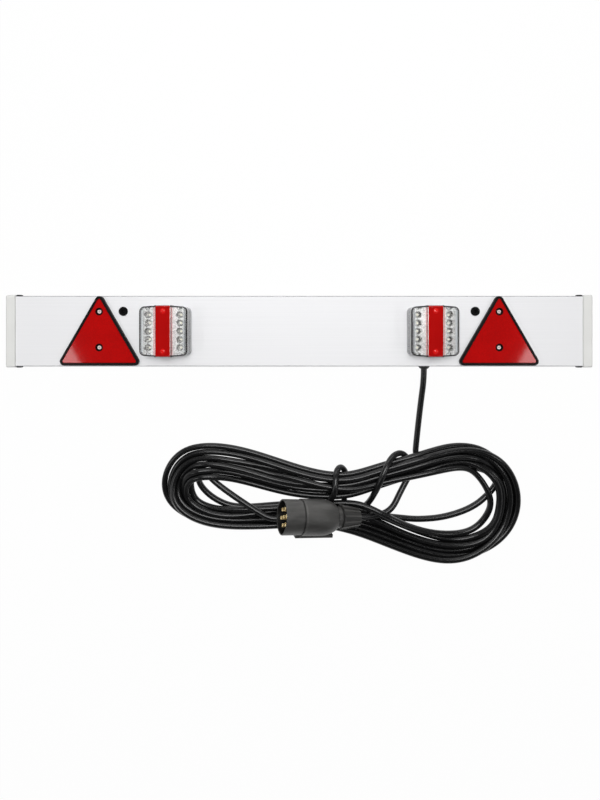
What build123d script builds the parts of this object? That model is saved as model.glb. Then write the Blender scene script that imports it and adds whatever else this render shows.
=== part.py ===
from build123d import *
import math
import os

# A four foot trailer lighting board lying on its back, with its cable wound into a hank beside it.
# X runs along the board, Y up the board, Z out of the lit face; the floor under the end caps is z = 0.
# Every length is in millimetres and every angle in degrees.

# Board profile: a hollow white extrusion with two inner webs
BOARD_LENGTH = 1220.0
BOARD_HEIGHT = 147.0
BOARD_DEPTH = 24.0
BOARD_WALL = 2.2
BOARD_EDGE_RADIUS = 2.0
WEB_WALL = 1.6
WEB_OFFSET = 26.0

# End caps: sleeves over the ends, with hollow tongues in the outer cells of the profile
CAP_WALL = 2.0
CAP_END_WALL = 3.0
CAP_REACH = 19.6
CAP_EDGE_RADIUS = 1.8
CAP_FIT = 0.1
TONGUE_REACH = 10.0
TONGUE_WALL = 1.8
TONGUE_FIT = 0.3

# Clips: dark push-in pads on the top and bottom edge, against the inner end of each cap
CLIP_LENGTH = 9.4
CLIP_WIDTH = 7.0
CLIP_DROP = 5.6
CLIP_PROUD = 2.6
CLIP_EDGE = 0.8
PEG_RADIUS = 2.5
PEG_BARB = 0.6
PEG_TIP_RADIUS = 1.6
PEG_TIP_LENGTH = 4.5
PEG_FIT = 0.15

# Fixing bushes: rubber bushes through the whole profile, each with a flange on the face
BUSH_INSET = 243.7
BUSH_Y = 41.3
BUSH_BORE_RADIUS = 3.2
BUSH_NECK_RADIUS = 6.3
BUSH_FLANGE_RADIUS = 9.5
BUSH_FLANGE_PROUD = 2.2
BUSH_EDGE = 1.0
BUSH_FIT = 0.15

# Triangular reflectors: black backings with raised rims, red lenses and two screws each
REFLECTOR_INSET = 196.2
REFLECTOR_Y = -20.3
REFLECTOR_SIDE = 175.4
REFLECTOR_CORNER_RADIUS = 8.5
REFLECTOR_PLATE = 2.2
REFLECTOR_RIM_WIDTH = 5.0
REFLECTOR_RIM_HEIGHT = 7.5
REFLECTOR_RIM_EDGE = 1.2
REFLECTOR_LENS_THICKNESS = 4.4
REFLECTOR_LENS_EDGE = 0.8
REFLECTOR_LENS_FIT = 0.2
REFLECTOR_SCREW_UPPER_Y = 60.8
REFLECTOR_SCREW_LOWER_Y = -13.4
REFLECTOR_WELL_RADIUS = 7.0

# Screws: pan heads on plain shanks, used on the reflectors and inside the lamps
SCREW_HEAD_RADIUS = 4.7
SCREW_HEAD_HEIGHT = 3.0
SCREW_HEAD_EDGE = 1.2
SCREW_RADIUS = 2.1
SCREW_REACH = 10.0
SCREW_FIT = 0.15

# Lamps: a base, a seal, a clear lens and a red strip, with the lighting parts inside
LAMP_INSET = 337.4
LAMP_WIDTH = 96.5
LAMP_HEIGHT = 103.5
LAMP_ARCH = 3.0
LAMP_CORNER_RADIUS = 10.5
LAMP_DEPTH = 36.0
BASE_HEIGHT = 11.0
BASE_WALL = 2.4
BASE_FLOOR = 2.5
BASE_LEAD_HOLE_RADIUS = 17.0
LAMP_SCREW_X = 30.0
SEAL_THICKNESS = 1.2
SEAL_INSET = 0.4
LENS_WALL = 2.2
LENS_TOP = 2.5
LENS_EDGE_RADIUS = 4.0
RIB_WIDTH = 2.6
RIB_PROUD = 0.8
STRIP_WIDTH = 29.0
STRIP_SKIRT = 9.0
STRIP_FIT = 0.15
DOME_RADIUS = 4.5
DOME_RISE = 1.3
DOME_Y = 40.6
CIRCUIT_WIDTH = 84.0
CIRCUIT_HEIGHT = 86.0
CIRCUIT_CORNER_RADIUS = 6.0
CIRCUIT_THICKNESS = 1.6
CIRCUIT_RISE = 15.0
POST_SIZE = 5.0
POST_INSET = 6.0
MIRROR_HEIGHT = 9.0
MIRROR_FIT = 0.5
CUP_X = 32.0
CUP_PITCH = 16.6
CUP_ROWS = 5
CUP_RADIUS = 7.3
CUP_FLOOR_RADIUS = 2.9
CUP_FACETS = 10
CHIP_SIZE = 2.8
CHIP_HEIGHT = 1.2

# Leads inside the board: the supply from the gland and the link between the lamps
SUPPLY_RADIUS = 4.0
SUPPLY_Y = -2.0
LINK_RADIUS = 3.0
LINK_Y = 9.0
LEAD_BEND = 9.0
LEAD_FIT = 0.6

# Cable gland: a rubber plug in the bottom edge of the board, set a little inboard of the right lamp
GLAND_OFFSET = 9.3
GLAND_FLANGE_RADIUS = 11.3
GLAND_FLANGE_THICKNESS = 1.8
GLAND_NOSE_RADIUS = 8.0
GLAND_REACH = 5.4
GLAND_NECK_RADIUS = 7.6
GLAND_LIP_RADIUS = 9.0
GLAND_LIP_THICKNESS = 2.0
GLAND_BLIND_WALL = 2.0
GLAND_FIT = 0.15

# Cord: one length of round cable, from the gland through the hank to the plug
CORD_RADIUS = 6.25
CORD_FIT = 0.15
CORD_CORNER_SHARE = 0.45
CORD_LEAD = 22.0
CORD_DROP = ((258.6, -147.0, 9.0), (253.5, -197.8, 6.3), (246.9, -251.0, 6.3), (238.0, -287.0, 6.3))
CORD_LOOSE_RIGHT = ((424.0, -318.0, 6.3), (406.0, -345.0, 6.3), (369.0, -376.0, 6.3), (311.0, -396.0, 6.3),
                    (254.0, -401.0, 6.3), (212.0, -397.0, 6.3))
CORD_LOOSE_LEFT = ((-206.0, -309.0, 6.3), (-178.0, -322.0, 6.3), (-137.0, -345.0, 6.3),
                   (-84.0, -377.0, 6.3), (-54.0, -392.0, 6.3))
CORD_TAIL = ((190.0, -377.0, 27.2), (215.0, -336.0, 14.0), (240.0, -297.0, 6.3))

# Hank: the outer shape of the wound cable, pinched in the middle, with an opening in each loop
HANK_HEIGHT = 34.0
HANK_BEVEL = 9.0
HANK_OUTLINE = ((-293.0, -260.0), (-230.0, -231.0), (-135.0, -235.0), (82.0, -303.0), (328.0, -229.0),
                (433.0, -246.0), (473.0, -334.0), (460.0, -440.0), (370.0, -488.0), (265.0, -486.0),
                (96.0, -418.0), (-135.0, -427.0), (-240.0, -397.0), (-291.0, -345.0))
HANK_LEFT_OPENING = ((-226.0, -328.0), (-198.0, -311.0), (-114.0, -317.0), (-20.0, -347.0), (-78.0, -366.0),
                     (-156.0, -362.0), (-209.0, -343.0))
HANK_RIGHT_OPENING = ((191.0, -351.0), (265.0, -301.0), (328.0, -282.0), (376.0, -309.0), (397.0, -355.0),
                      (385.0, -406.0), (328.0, -427.0), (265.0, -412.0))

# Plug: lies on the hank with its open end raised; its own axis runs from the cable nut to the open end
PLUG_SEAM = (1.8, -362.3, 81.0)
PLUG_TILT = 19.0
PLUG_TURN = 9.0
PLUG_FIT = 0.15
PLUG_CLEARANCE = 0.3
SHELL_RADIUS = 32.0
SHELL_WALL = 3.0
SHELL_LENGTH = 38.0
SHELL_RIM_RADIUS = 1.2
SPIGOT_LENGTH = 9.0
LEDGE_RADIUS = 24.5
LEDGE_HEIGHT = 2.0
CARRIER_THICKNESS = 10.0
PIN_RADIUS = 3.5
PIN_CIRCLE_RADIUS = 16.0
PIN_RING_COUNT = 6
PIN_RECESS = 3.0
PIN_TAIL = 6.0
PIN_TIP_CHAMFER = 1.1
PIN_SLOT_WIDTH = 1.2
PIN_SLOT_DEPTH = 13.0
BODY_RADIUS = 33.4
BODY_WALL = 3.6
BODY_STRAIGHT = 42.0
BODY_LENGTH = 74.0
BODY_END_RADIUS = 24.0
COLLAR_RADIUS = 20.0
COLLAR_LENGTH = 11.5
NECK_RADIUS = 16.0
NECK_LENGTH = 15.0
NECK_BORE_RADIUS = 9.0
RAIL_WIDTH = 16.0
RAIL_PROUD = 5.0
RAIL_LEAD = 7.0
RAIL_EDGE_RADIUS = 1.5
RAIL_REAR_GAP = 1.5
NUT_LENGTH = 41.0
NUT_FRONT_RADIUS = 22.5
NUT_REAR_RADIUS = 16.0
NUT_BACK_WALL = 6.0
NUT_RIB_COUNT = 12
NUT_RIB_WIDTH = 3.2
NUT_RIB_PROUD = 1.6
GRIP_LENGTH = 12.0
GRIP_WALL = 4.0

# Places worked out from the sizes above
BACK_Z = CAP_WALL + CAP_FIT
FACE_Z = BACK_Z + BOARD_DEPTH
CELL_Z = BACK_Z + BOARD_DEPTH / 2
EDGE_Y = BOARD_HEIGHT / 2
PROFILE_LENGTH = BOARD_LENGTH - 2 * (CAP_END_WALL + CAP_FIT)
CLIP_X = BOARD_LENGTH / 2 - CAP_REACH - CLIP_LENGTH / 2
CLIP_Z = FACE_Z - CLIP_DROP
REFLECTOR_X = BOARD_LENGTH / 2 - REFLECTOR_INSET
BUSH_X = BOARD_LENGTH / 2 - BUSH_INSET
LAMP_X = BOARD_LENGTH / 2 - LAMP_INSET
LENS_Z = BASE_HEIGHT + SEAL_THICKNESS
CIRCUIT_TOP = CIRCUIT_RISE + CIRCUIT_THICKNESS
GLAND_X = LAMP_X - GLAND_OFFSET
LEAD_END_Z = FACE_Z + CIRCUIT_RISE
SIDES = {"left": -1, "right": 1}


def corner_radii(points, closed=False):
    """Radius of the arc at each corner of a route, from the shorter run beside it and the turn there."""
    points = [Vector(*point) for point in points]
    count = len(points)
    radii = []
    for index in range(count) if closed else range(1, count - 1):
        arriving = points[index] - points[index - 1]
        leaving = points[(index + 1) % count] - points[index]
        half_turn = math.radians(arriving.get_angle(leaving)) / 2
        radii.append(CORD_CORNER_SHARE * min(arriving.length, leaving.length) / math.tan(half_turn))
    return radii


def tube(points, radius, bends):
    """Round rod along a route of straight runs joined by tangent arcs."""
    path = FilletPolyline(*points, radius=bends)
    start = Plane(origin=path @ 0, z_dir=path % 0)
    return sweep(start * Circle(radius), path=path)


def turned(points, axis=Axis.Z):
    """Solid of revolution from a closed outline in the XZ plane."""
    return revolve(Plane.XZ * make_face(Polyline(*points, close=True)), axis)


def group(solids):
    """Several separate solids under one node."""
    return Compound(children=list(solids))


def cell_spans():
    """Middle and width, up the board, of each of the three cells of the profile."""
    middle = 2 * WEB_OFFSET - WEB_WALL
    inner_edge = WEB_OFFSET + WEB_WALL / 2
    outer_edge = EDGE_Y - BOARD_WALL
    outer = outer_edge - inner_edge
    offset = (outer_edge + inner_edge) / 2
    return ((-offset, outer), (0.0, middle), (offset, outer))


def reflector_screw_places():
    """Places of the reflector screws on the board, for both sides."""
    return [
        (side * REFLECTOR_X, REFLECTOR_Y + height)
        for side in SIDES.values()
        for height in (REFLECTOR_SCREW_UPPER_Y, REFLECTOR_SCREW_LOWER_Y)
    ]


def lamp_screw_places():
    """Places of the lamps' fixing screws on the board, for both sides."""
    return [
        (side * LAMP_X + offset, 0.0)
        for side in SIDES.values()
        for offset in (-LAMP_SCREW_X, LAMP_SCREW_X)
    ]


def face_hole(x, y, radius):
    """Cutter for a round hole through the front wall of the profile."""
    return Pos(x, y, FACE_Z - BOARD_WALL / 2) * Cylinder(radius, 2 * BOARD_WALL)


def board_profile():
    """Hollow extrusion with three cells and the holes for everything that goes into it."""
    depth = BOARD_DEPTH - 2 * BOARD_WALL
    section = RectangleRounded(BOARD_HEIGHT, BOARD_DEPTH, BOARD_EDGE_RADIUS)
    for middle, width in cell_spans():
        section -= Pos(middle, 0) * Rectangle(width, depth)
    profile = extrude(Plane.YZ * section, PROFILE_LENGTH / 2, both=True)
    profile = Pos(0, 0, CELL_Z) * profile
    for x, y in reflector_screw_places() + lamp_screw_places():
        profile -= face_hole(x, y, SCREW_RADIUS + SCREW_FIT)
    for side in SIDES.values():
        profile -= face_hole(side * LAMP_X, LINK_Y, LINK_RADIUS + LEAD_FIT)
        profile -= Pos(side * BUSH_X, BUSH_Y, CELL_Z) * Cylinder(BUSH_NECK_RADIUS + BUSH_FIT, 2 * BOARD_DEPTH)
        for edge in (-1, 1):
            profile -= Pos(side * CLIP_X, edge * EDGE_Y, CLIP_Z) * Rot(90, 0, 0) * Cylinder(
                PEG_RADIUS + PEG_FIT, 4 * BOARD_WALL
            )
    profile -= face_hole(GLAND_X, SUPPLY_Y, SUPPLY_RADIUS + LEAD_FIT)
    profile -= Pos(GLAND_X, -EDGE_Y, CELL_Z) * Rot(90, 0, 0) * Cylinder(
        GLAND_NECK_RADIUS + GLAND_FIT, 4 * BOARD_WALL
    )
    profile -= Pos(GLAND_X, -WEB_OFFSET, CELL_Z) * Rot(90, 0, 0) * Cylinder(
        SUPPLY_RADIUS + LEAD_FIT, 4 * WEB_WALL
    )
    return profile


def end_cap(side):
    """Moulded sleeve with a closed, rounded end and a hollow tongue in each outer cell."""
    grow = CAP_FIT + CAP_WALL
    outer = extrude(
        Plane.YZ * RectangleRounded(BOARD_HEIGHT + 2 * grow, BOARD_DEPTH + 2 * grow, BOARD_EDGE_RADIUS + grow),
        CAP_REACH,
    )
    cap = fillet(outer.faces().sort_by(Axis.X)[-1].edges(), CAP_EDGE_RADIUS)
    pocket = RectangleRounded(
        BOARD_HEIGHT + 2 * CAP_FIT, BOARD_DEPTH + 2 * CAP_FIT, BOARD_EDGE_RADIUS + CAP_FIT
    )
    cap -= extrude(Plane.YZ * pocket, CAP_REACH - CAP_END_WALL)
    depth = BOARD_DEPTH - 2 * BOARD_WALL - 2 * TONGUE_FIT
    lower, _, upper = cell_spans()
    for middle, width in (lower, upper):
        width -= 2 * TONGUE_FIT
        tongue = Rectangle(width, depth) - Rectangle(width - 2 * TONGUE_WALL, depth - 2 * TONGUE_WALL)
        root = Plane.YZ.offset(CAP_REACH - CAP_END_WALL - TONGUE_REACH)
        cap += Pos(0, middle, 0) * extrude(root * tongue, TONGUE_REACH)
    cap = Pos(BOARD_LENGTH / 2 - CAP_REACH, 0, CELL_Z) * cap
    return cap if side > 0 else mirror(cap, Plane.YZ)


def edge_clip():
    """Push-in clip: a pad with a barbed peg through the wall below it; the pad's underside is z = 0."""
    pad = Pos(0, 0, CLIP_PROUD / 2) * Box(CLIP_LENGTH, CLIP_WIDTH, CLIP_PROUD)
    pad = chamfer(pad.faces().sort_by(Axis.Z)[-1].edges(), CLIP_EDGE)
    barb = PEG_RADIUS + PEG_BARB
    wall = BOARD_WALL + PEG_FIT
    peg = turned(
        (
            (0, 0),
            (PEG_RADIUS, 0),
            (PEG_RADIUS, -wall),
            (barb, -wall - PEG_BARB),
            (PEG_TIP_RADIUS, -wall - PEG_BARB - PEG_TIP_LENGTH),
            (0, -wall - PEG_BARB - PEG_TIP_LENGTH),
        )
    )
    return pad + peg


def edge_clips():
    """The clips beside both caps, on the top and the bottom edge of the profile."""
    return group(
        Pos(side * CLIP_X, edge * EDGE_Y, CLIP_Z) * Rot(-edge * 90, 0, 0) * edge_clip()
        for side in SIDES.values()
        for edge in (-1, 1)
    )


def fixing_bushes():
    """Rubber bushes that line the bolt holes right through the board."""
    top = FACE_Z + BUSH_FLANGE_PROUD
    body = turned(
        (
            (BUSH_BORE_RADIUS, BACK_Z),
            (BUSH_NECK_RADIUS, BACK_Z),
            (BUSH_NECK_RADIUS, FACE_Z),
            (BUSH_FLANGE_RADIUS, FACE_Z),
            (BUSH_FLANGE_RADIUS, top - BUSH_EDGE),
            (BUSH_FLANGE_RADIUS - BUSH_EDGE, top),
            (BUSH_BORE_RADIUS, top),
        )
    )
    return group(Pos(side * BUSH_X, BUSH_Y, 0) * body for side in SIDES.values())


def pan_screw(reach):
    """Screw with its head's underside at z = 0 and its shank below."""
    head = Pos(0, 0, SCREW_HEAD_HEIGHT / 2) * Cylinder(SCREW_HEAD_RADIUS, SCREW_HEAD_HEIGHT)
    head = chamfer(head.edges().group_by(Axis.Z)[-1], SCREW_HEAD_EDGE)
    return head + Pos(0, 0, -reach / 2) * Cylinder(SCREW_RADIUS, reach)


def triangle(inset):
    """Triangle with rounded corners, apex up, drawn in from the reflector's outline."""
    drawn_in = RegularPolygon((REFLECTOR_SIDE / math.sqrt(3)) - 2 * inset, 3, rotation=90)
    return fillet(drawn_in.vertices(), REFLECTOR_CORNER_RADIUS - inset)


def reflector_place(side):
    """Where a reflector's middle stands on the face."""
    return Pos(side * REFLECTOR_X, REFLECTOR_Y, FACE_Z)


def reflector_backing(side):
    """Black tray: a plate with a raised rim and two screw holes."""
    tray = extrude(triangle(0), REFLECTOR_RIM_HEIGHT)
    tray = chamfer(tray.edges().group_by(Axis.Z)[-1], REFLECTOR_RIM_EDGE)
    tray -= Pos(0, 0, REFLECTOR_PLATE) * extrude(triangle(REFLECTOR_RIM_WIDTH), REFLECTOR_RIM_HEIGHT)
    for height in (REFLECTOR_SCREW_UPPER_Y, REFLECTOR_SCREW_LOWER_Y):
        tray -= Pos(0, height, 0) * Cylinder(SCREW_RADIUS + SCREW_FIT, 4 * REFLECTOR_PLATE)
    return reflector_place(side) * tray


def reflector_lens(side):
    """Red lens inside the rim, open round both screw heads."""
    lens = extrude(triangle(REFLECTOR_RIM_WIDTH + REFLECTOR_LENS_FIT), REFLECTOR_LENS_THICKNESS)
    lens = chamfer(lens.edges().group_by(Axis.Z)[-1], REFLECTOR_LENS_EDGE)
    for height in (REFLECTOR_SCREW_UPPER_Y, REFLECTOR_SCREW_LOWER_Y):
        lens -= Pos(0, height, 0) * Cylinder(REFLECTOR_WELL_RADIUS, 4 * REFLECTOR_LENS_THICKNESS)
    return reflector_place(side) * Pos(0, 0, REFLECTOR_PLATE) * lens


def reflector_screws():
    """The screws through the reflectors' backings into the face."""
    screw = pan_screw(REFLECTOR_PLATE + BOARD_WALL + SCREW_REACH)
    return group(Pos(x, y, FACE_Z + REFLECTOR_PLATE) * screw for x, y in reflector_screw_places())


def lamp_outline(inset):
    """Lamp outline: straight sides, bowed ends and round corners, drawn in by an inset."""
    half_width = LAMP_WIDTH / 2 - inset
    half_height = LAMP_HEIGHT / 2 - inset
    corner = half_height - LAMP_ARCH
    outline = [
        Line((half_width, -corner), (half_width, corner)),
        ThreePointArc((half_width, corner), (0, half_height), (-half_width, corner)),
        Line((-half_width, corner), (-half_width, -corner)),
        ThreePointArc((-half_width, -corner), (0, -half_height), (half_width, -corner)),
    ]
    return fillet(make_face(outline).vertices(), LAMP_CORNER_RADIUS - inset)


def lamp_slice(inset, bottom, top):
    """Straight-sided block of the lamp's outline between two heights above the face."""
    return Pos(0, 0, bottom) * extrude(lamp_outline(inset), top - bottom)


def lamp_place(side):
    """Where a lamp's middle stands on the face."""
    return Pos(side * LAMP_X, 0, FACE_Z)


def circuit_posts():
    """Places of the posts under the corners of the circuit board."""
    return GridLocations(CIRCUIT_WIDTH - 2 * POST_INSET, CIRCUIT_HEIGHT - 2 * POST_INSET, 2, 2)


def lamp_base(side):
    """Tray screwed to the face, with posts for the circuit board and a hole for the leads."""
    base = lamp_slice(0, 0, BASE_HEIGHT) - lamp_slice(BASE_WALL, BASE_FLOOR, 2 * BASE_HEIGHT)
    post_height = CIRCUIT_RISE - BASE_FLOOR
    post = Pos(0, 0, BASE_FLOOR + post_height / 2) * Box(POST_SIZE, POST_SIZE, post_height)
    base += circuit_posts() * post
    base -= Cylinder(BASE_LEAD_HOLE_RADIUS, 4 * BASE_FLOOR)
    for offset in (-LAMP_SCREW_X, LAMP_SCREW_X):
        base -= Pos(offset, 0, 0) * Cylinder(SCREW_RADIUS + SCREW_FIT, 4 * BASE_FLOOR)
    return lamp_place(side) * base


def lamp_seal(side):
    """Flat rubber ring between the base and the lens."""
    seal = lamp_slice(SEAL_INSET, BASE_HEIGHT, LENS_Z) - lamp_slice(LENS_WALL, 0, 2 * LENS_Z)
    return lamp_place(side) * seal


def lamp_screws():
    """The screws that hold the lamps' bases to the face."""
    screw = pan_screw(BASE_FLOOR + BOARD_WALL + SCREW_REACH)
    return group(Pos(x, y, FACE_Z + BASE_FLOOR) * screw for x, y in lamp_screw_places())


def circuit_board(side):
    """Flat board on the posts that carries the light chips."""
    outline = RectangleRounded(CIRCUIT_WIDTH, CIRCUIT_HEIGHT, CIRCUIT_CORNER_RADIUS)
    return lamp_place(side) * Pos(0, 0, CIRCUIT_RISE) * extrude(outline, CIRCUIT_THICKNESS)


def cup_places():
    """Places of the mirror's cups: one column beside each edge of the red strip."""
    return GridLocations(2 * CUP_X, CUP_PITCH, 2, CUP_ROWS)


def light_chips():
    """The light chips of both lamps, one at the foot of each cup."""
    chip = Pos(0, 0, CIRCUIT_TOP + CHIP_HEIGHT / 2) * Box(CHIP_SIZE, CHIP_SIZE, CHIP_HEIGHT)
    return group(
        lamp_place(side) * place * chip for side in SIDES.values() for place in cup_places().locations
    )


def lamp_mirror(side):
    """Silvered block on the circuit board, with a tapered, faceted cup round each light chip."""
    mirror_block = lamp_slice(LENS_WALL + MIRROR_FIT, CIRCUIT_TOP, CIRCUIT_TOP + MIRROR_HEIGHT)
    floor = Pos(0, 0, CIRCUIT_TOP) * RegularPolygon(CUP_FLOOR_RADIUS, CUP_FACETS)
    mouth = Pos(0, 0, CIRCUIT_TOP + MIRROR_HEIGHT) * RegularPolygon(CUP_RADIUS, CUP_FACETS)
    return lamp_place(side) * (mirror_block - cup_places() * loft([floor, mouth]))


def lens_block(grow):
    """Solid block of the lens's outer form, with rounded front edges, grown outward by a little."""
    block = lamp_slice(-grow, LENS_Z, LAMP_DEPTH + grow)
    return fillet(block.edges().group_by(Axis.Z)[-1], LENS_EDGE_RADIUS + grow)


def lens_hollow():
    """The space inside the lens."""
    return lamp_slice(LENS_WALL, 0, LAMP_DEPTH - LENS_TOP)


def strip_band(width, bottom):
    """Upright slab across the middle of the lamp, above a height."""
    height = 2 * LAMP_DEPTH - bottom
    return Pos(0, 0, bottom + height / 2) * Box(width, 2 * LAMP_HEIGHT, height)


def lamp_lens(side):
    """Clear cover: a shell cut out for the red strip, with a proud rib along each side of the cut."""
    rib_band = strip_band(STRIP_WIDTH + 2 * (STRIP_FIT + RIB_WIDTH), LENS_Z)
    lens = lens_block(0) + (lens_block(RIB_PROUD) & rib_band)
    lens -= lens_hollow()
    lens -= strip_band(STRIP_WIDTH + 2 * STRIP_FIT, LAMP_DEPTH - STRIP_SKIRT)
    return lamp_place(side) * lens


def lamp_strip(side):
    """Red strip that bridges the cut in the cover, with a dome near each end."""
    strip = (lens_block(0) & strip_band(STRIP_WIDTH, LAMP_DEPTH - STRIP_SKIRT)) - lens_hollow()
    ball_radius = (DOME_RADIUS**2 + DOME_RISE**2) / (2 * DOME_RISE)
    ball = Pos(0, 0, LAMP_DEPTH + DOME_RISE - ball_radius) * Sphere(ball_radius)
    cap = ball & strip_band(STRIP_WIDTH, LAMP_DEPTH - LENS_TOP / 2)
    for height in (-DOME_Y, DOME_Y):
        strip += Pos(0, height, 0) * cap
    return lamp_place(side) * strip


def supply_lead():
    """Inner cable from the gland up through the web and into the right lamp."""
    start = -EDGE_Y + BOARD_WALL + GLAND_FIT + GLAND_LIP_THICKNESS
    points = ((GLAND_X, start, CELL_Z), (GLAND_X, SUPPLY_Y, CELL_Z), (GLAND_X, SUPPLY_Y, LEAD_END_Z))
    return tube(points, SUPPLY_RADIUS, LEAD_BEND)


def link_lead():
    """Inner cable along the middle cell, from one lamp to the other."""
    points = (
        (-LAMP_X, LINK_Y, LEAD_END_Z),
        (-LAMP_X, LINK_Y, CELL_Z),
        (LAMP_X, LINK_Y, CELL_Z),
        (LAMP_X, LINK_Y, LEAD_END_Z),
    )
    return tube(points, LINK_RADIUS, LEAD_BEND)


def cable_gland():
    """Rubber gland: a tapered nose outside, a neck in the wall, a lip inside and a socket for the cord."""
    wall = BOARD_WALL + GLAND_FIT
    inner = wall + GLAND_LIP_THICKNESS
    socket = CORD_RADIUS + CORD_FIT
    body = turned(
        (
            (0, inner),
            (GLAND_LIP_RADIUS, inner),
            (GLAND_LIP_RADIUS, wall),
            (GLAND_NECK_RADIUS, wall),
            (GLAND_NECK_RADIUS, 0),
            (GLAND_FLANGE_RADIUS, 0),
            (GLAND_FLANGE_RADIUS, -GLAND_FLANGE_THICKNESS),
            (GLAND_NOSE_RADIUS, -GLAND_REACH),
            (socket, -GLAND_REACH),
            (socket, inner - GLAND_BLIND_WALL),
            (0, inner - GLAND_BLIND_WALL),
        )
    )
    return Pos(GLAND_X, -EDGE_Y, CELL_Z) * Rot(-90, 0, 0) * body


def cord_route(points):
    """Solid of a free stretch of the cord."""
    return tube(points, CORD_RADIUS, corner_radii(points))


def drop_points():
    """Route of the cord from the foot of the gland's socket down to the hank."""
    start = -EDGE_Y + BOARD_WALL + GLAND_FIT + GLAND_LIP_THICKNESS - GLAND_BLIND_WALL
    lead = -EDGE_Y - GLAND_REACH - CORD_LEAD
    return ((GLAND_X, start, CELL_Z), (GLAND_X, lead, CELL_Z)) + CORD_DROP


def plug_plane():
    """Working plane of the plug: its origin is the seam, Z points out of the open end, X to the rail."""
    tilt = math.radians(PLUG_TILT)
    turn = math.radians(PLUG_TURN)
    out = (-math.cos(tilt) * math.cos(turn), math.cos(tilt) * math.sin(turn), math.sin(tilt))
    return Plane(origin=PLUG_SEAM, x_dir=(-math.sin(turn), -math.cos(turn), 0), z_dir=out)


def nut_front():
    """Height of the cable nut's front end on the plug's axis."""
    return -BODY_LENGTH - COLLAR_LENGTH - PLUG_FIT


def tail_points():
    """Route of the cord from the foot of the plug's neck back into the hank."""
    axis = plug_plane()
    start = axis.from_local_coords((0, 0, nut_front() - NECK_LENGTH))
    lead = axis.from_local_coords((0, 0, nut_front() - NUT_LENGTH - CORD_LEAD))
    return (tuple(start), tuple(lead)) + CORD_TAIL


def spigot_radius():
    """Radius of the shell's rear end, which fits into the body."""
    return BODY_RADIUS - BODY_WALL - PLUG_FIT


def plug_shell():
    """Front shell: a round wall about the contacts, a ledge for their carrier and a spigot behind."""
    bore = SHELL_RADIUS - SHELL_WALL
    shell = turned(
        (
            (LEDGE_RADIUS, -SPIGOT_LENGTH),
            (spigot_radius(), -SPIGOT_LENGTH),
            (spigot_radius(), 0),
            (SHELL_RADIUS, 0),
            (SHELL_RADIUS, SHELL_LENGTH),
            (bore, SHELL_LENGTH),
            (bore, LEDGE_HEIGHT),
            (LEDGE_RADIUS, LEDGE_HEIGHT),
        )
    )
    rim = shell.edges().filter_by(GeomType.CIRCLE).group_by(Axis.Z)[-1]
    return fillet(rim, SHELL_RIM_RADIUS)


def pin_places():
    """Places of the contact pins: a ring and one in the middle."""
    return [Pos(0, 0, 0)] + PolarLocations(PIN_CIRCLE_RADIUS, PIN_RING_COUNT).locations


def contact_carrier():
    """Insulating disc on the ledge of the shell that holds the pins."""
    carrier = Cylinder(SHELL_RADIUS - SHELL_WALL - PLUG_FIT, CARRIER_THICKNESS)
    for place in pin_places():
        carrier -= place * Cylinder(PIN_RADIUS + PLUG_FIT, 2 * CARRIER_THICKNESS)
    return Pos(0, 0, LEDGE_HEIGHT + CARRIER_THICKNESS / 2) * carrier


def contact_pins():
    """The brass pins, each slit at its tip."""
    tip = SHELL_LENGTH - PIN_RECESS
    length = tip + PIN_TAIL
    pin = Pos(0, 0, tip - length / 2) * Cylinder(PIN_RADIUS, length)
    pin = chamfer(pin.edges().group_by(Axis.Z)[-1], PIN_TIP_CHAMFER)
    pin -= Pos(0, 0, tip) * Box(PIN_SLOT_WIDTH, 4 * PIN_RADIUS, 2 * PIN_SLOT_DEPTH)
    return group(place * pin for place in pin_places())


def plug_body():
    """Rear body: a hollow barrel with a round shoulder, a collar, a neck for the nut and a side rail."""
    inner = BODY_RADIUS - BODY_WALL
    end_inner = BODY_END_RADIUS - BODY_WALL
    collar_end = -BODY_LENGTH - COLLAR_LENGTH
    neck_end = collar_end - NECK_LENGTH
    side = [
        Line((BODY_RADIUS, 0), (BODY_RADIUS, -BODY_STRAIGHT)),
        TangentArc((BODY_RADIUS, -BODY_STRAIGHT), (BODY_END_RADIUS, -BODY_LENGTH), tangent=(0, -1)),
        Polyline(
            (BODY_END_RADIUS, -BODY_LENGTH),
            (COLLAR_RADIUS, -BODY_LENGTH),
            (COLLAR_RADIUS, collar_end),
            (NECK_RADIUS, collar_end),
            (NECK_RADIUS, neck_end),
            (NECK_BORE_RADIUS, neck_end),
            (NECK_BORE_RADIUS, -BODY_LENGTH),
            (end_inner, -BODY_LENGTH + BODY_WALL),
            (inner, -BODY_STRAIGHT),
            (inner, 0),
            (BODY_RADIUS, 0),
        ),
    ]
    body = revolve(Plane.XZ * make_face(side), Axis.Z)
    rail_length = RAIL_LEAD + BODY_LENGTH - RAIL_REAR_GAP
    rail_depth = RAIL_PROUD + BODY_WALL / 2
    rail = Box(rail_depth, RAIL_WIDTH, rail_length)
    rail = fillet(rail.faces().sort_by(Axis.X)[-1].edges(), RAIL_EDGE_RADIUS)
    rail = Pos(BODY_RADIUS + RAIL_PROUD - rail_depth / 2, 0, RAIL_LEAD - rail_length / 2) * rail
    return body + rail - Pos(0, 0, SHELL_LENGTH / 2) * Cylinder(SHELL_RADIUS + PLUG_CLEARANCE, SHELL_LENGTH)


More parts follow.
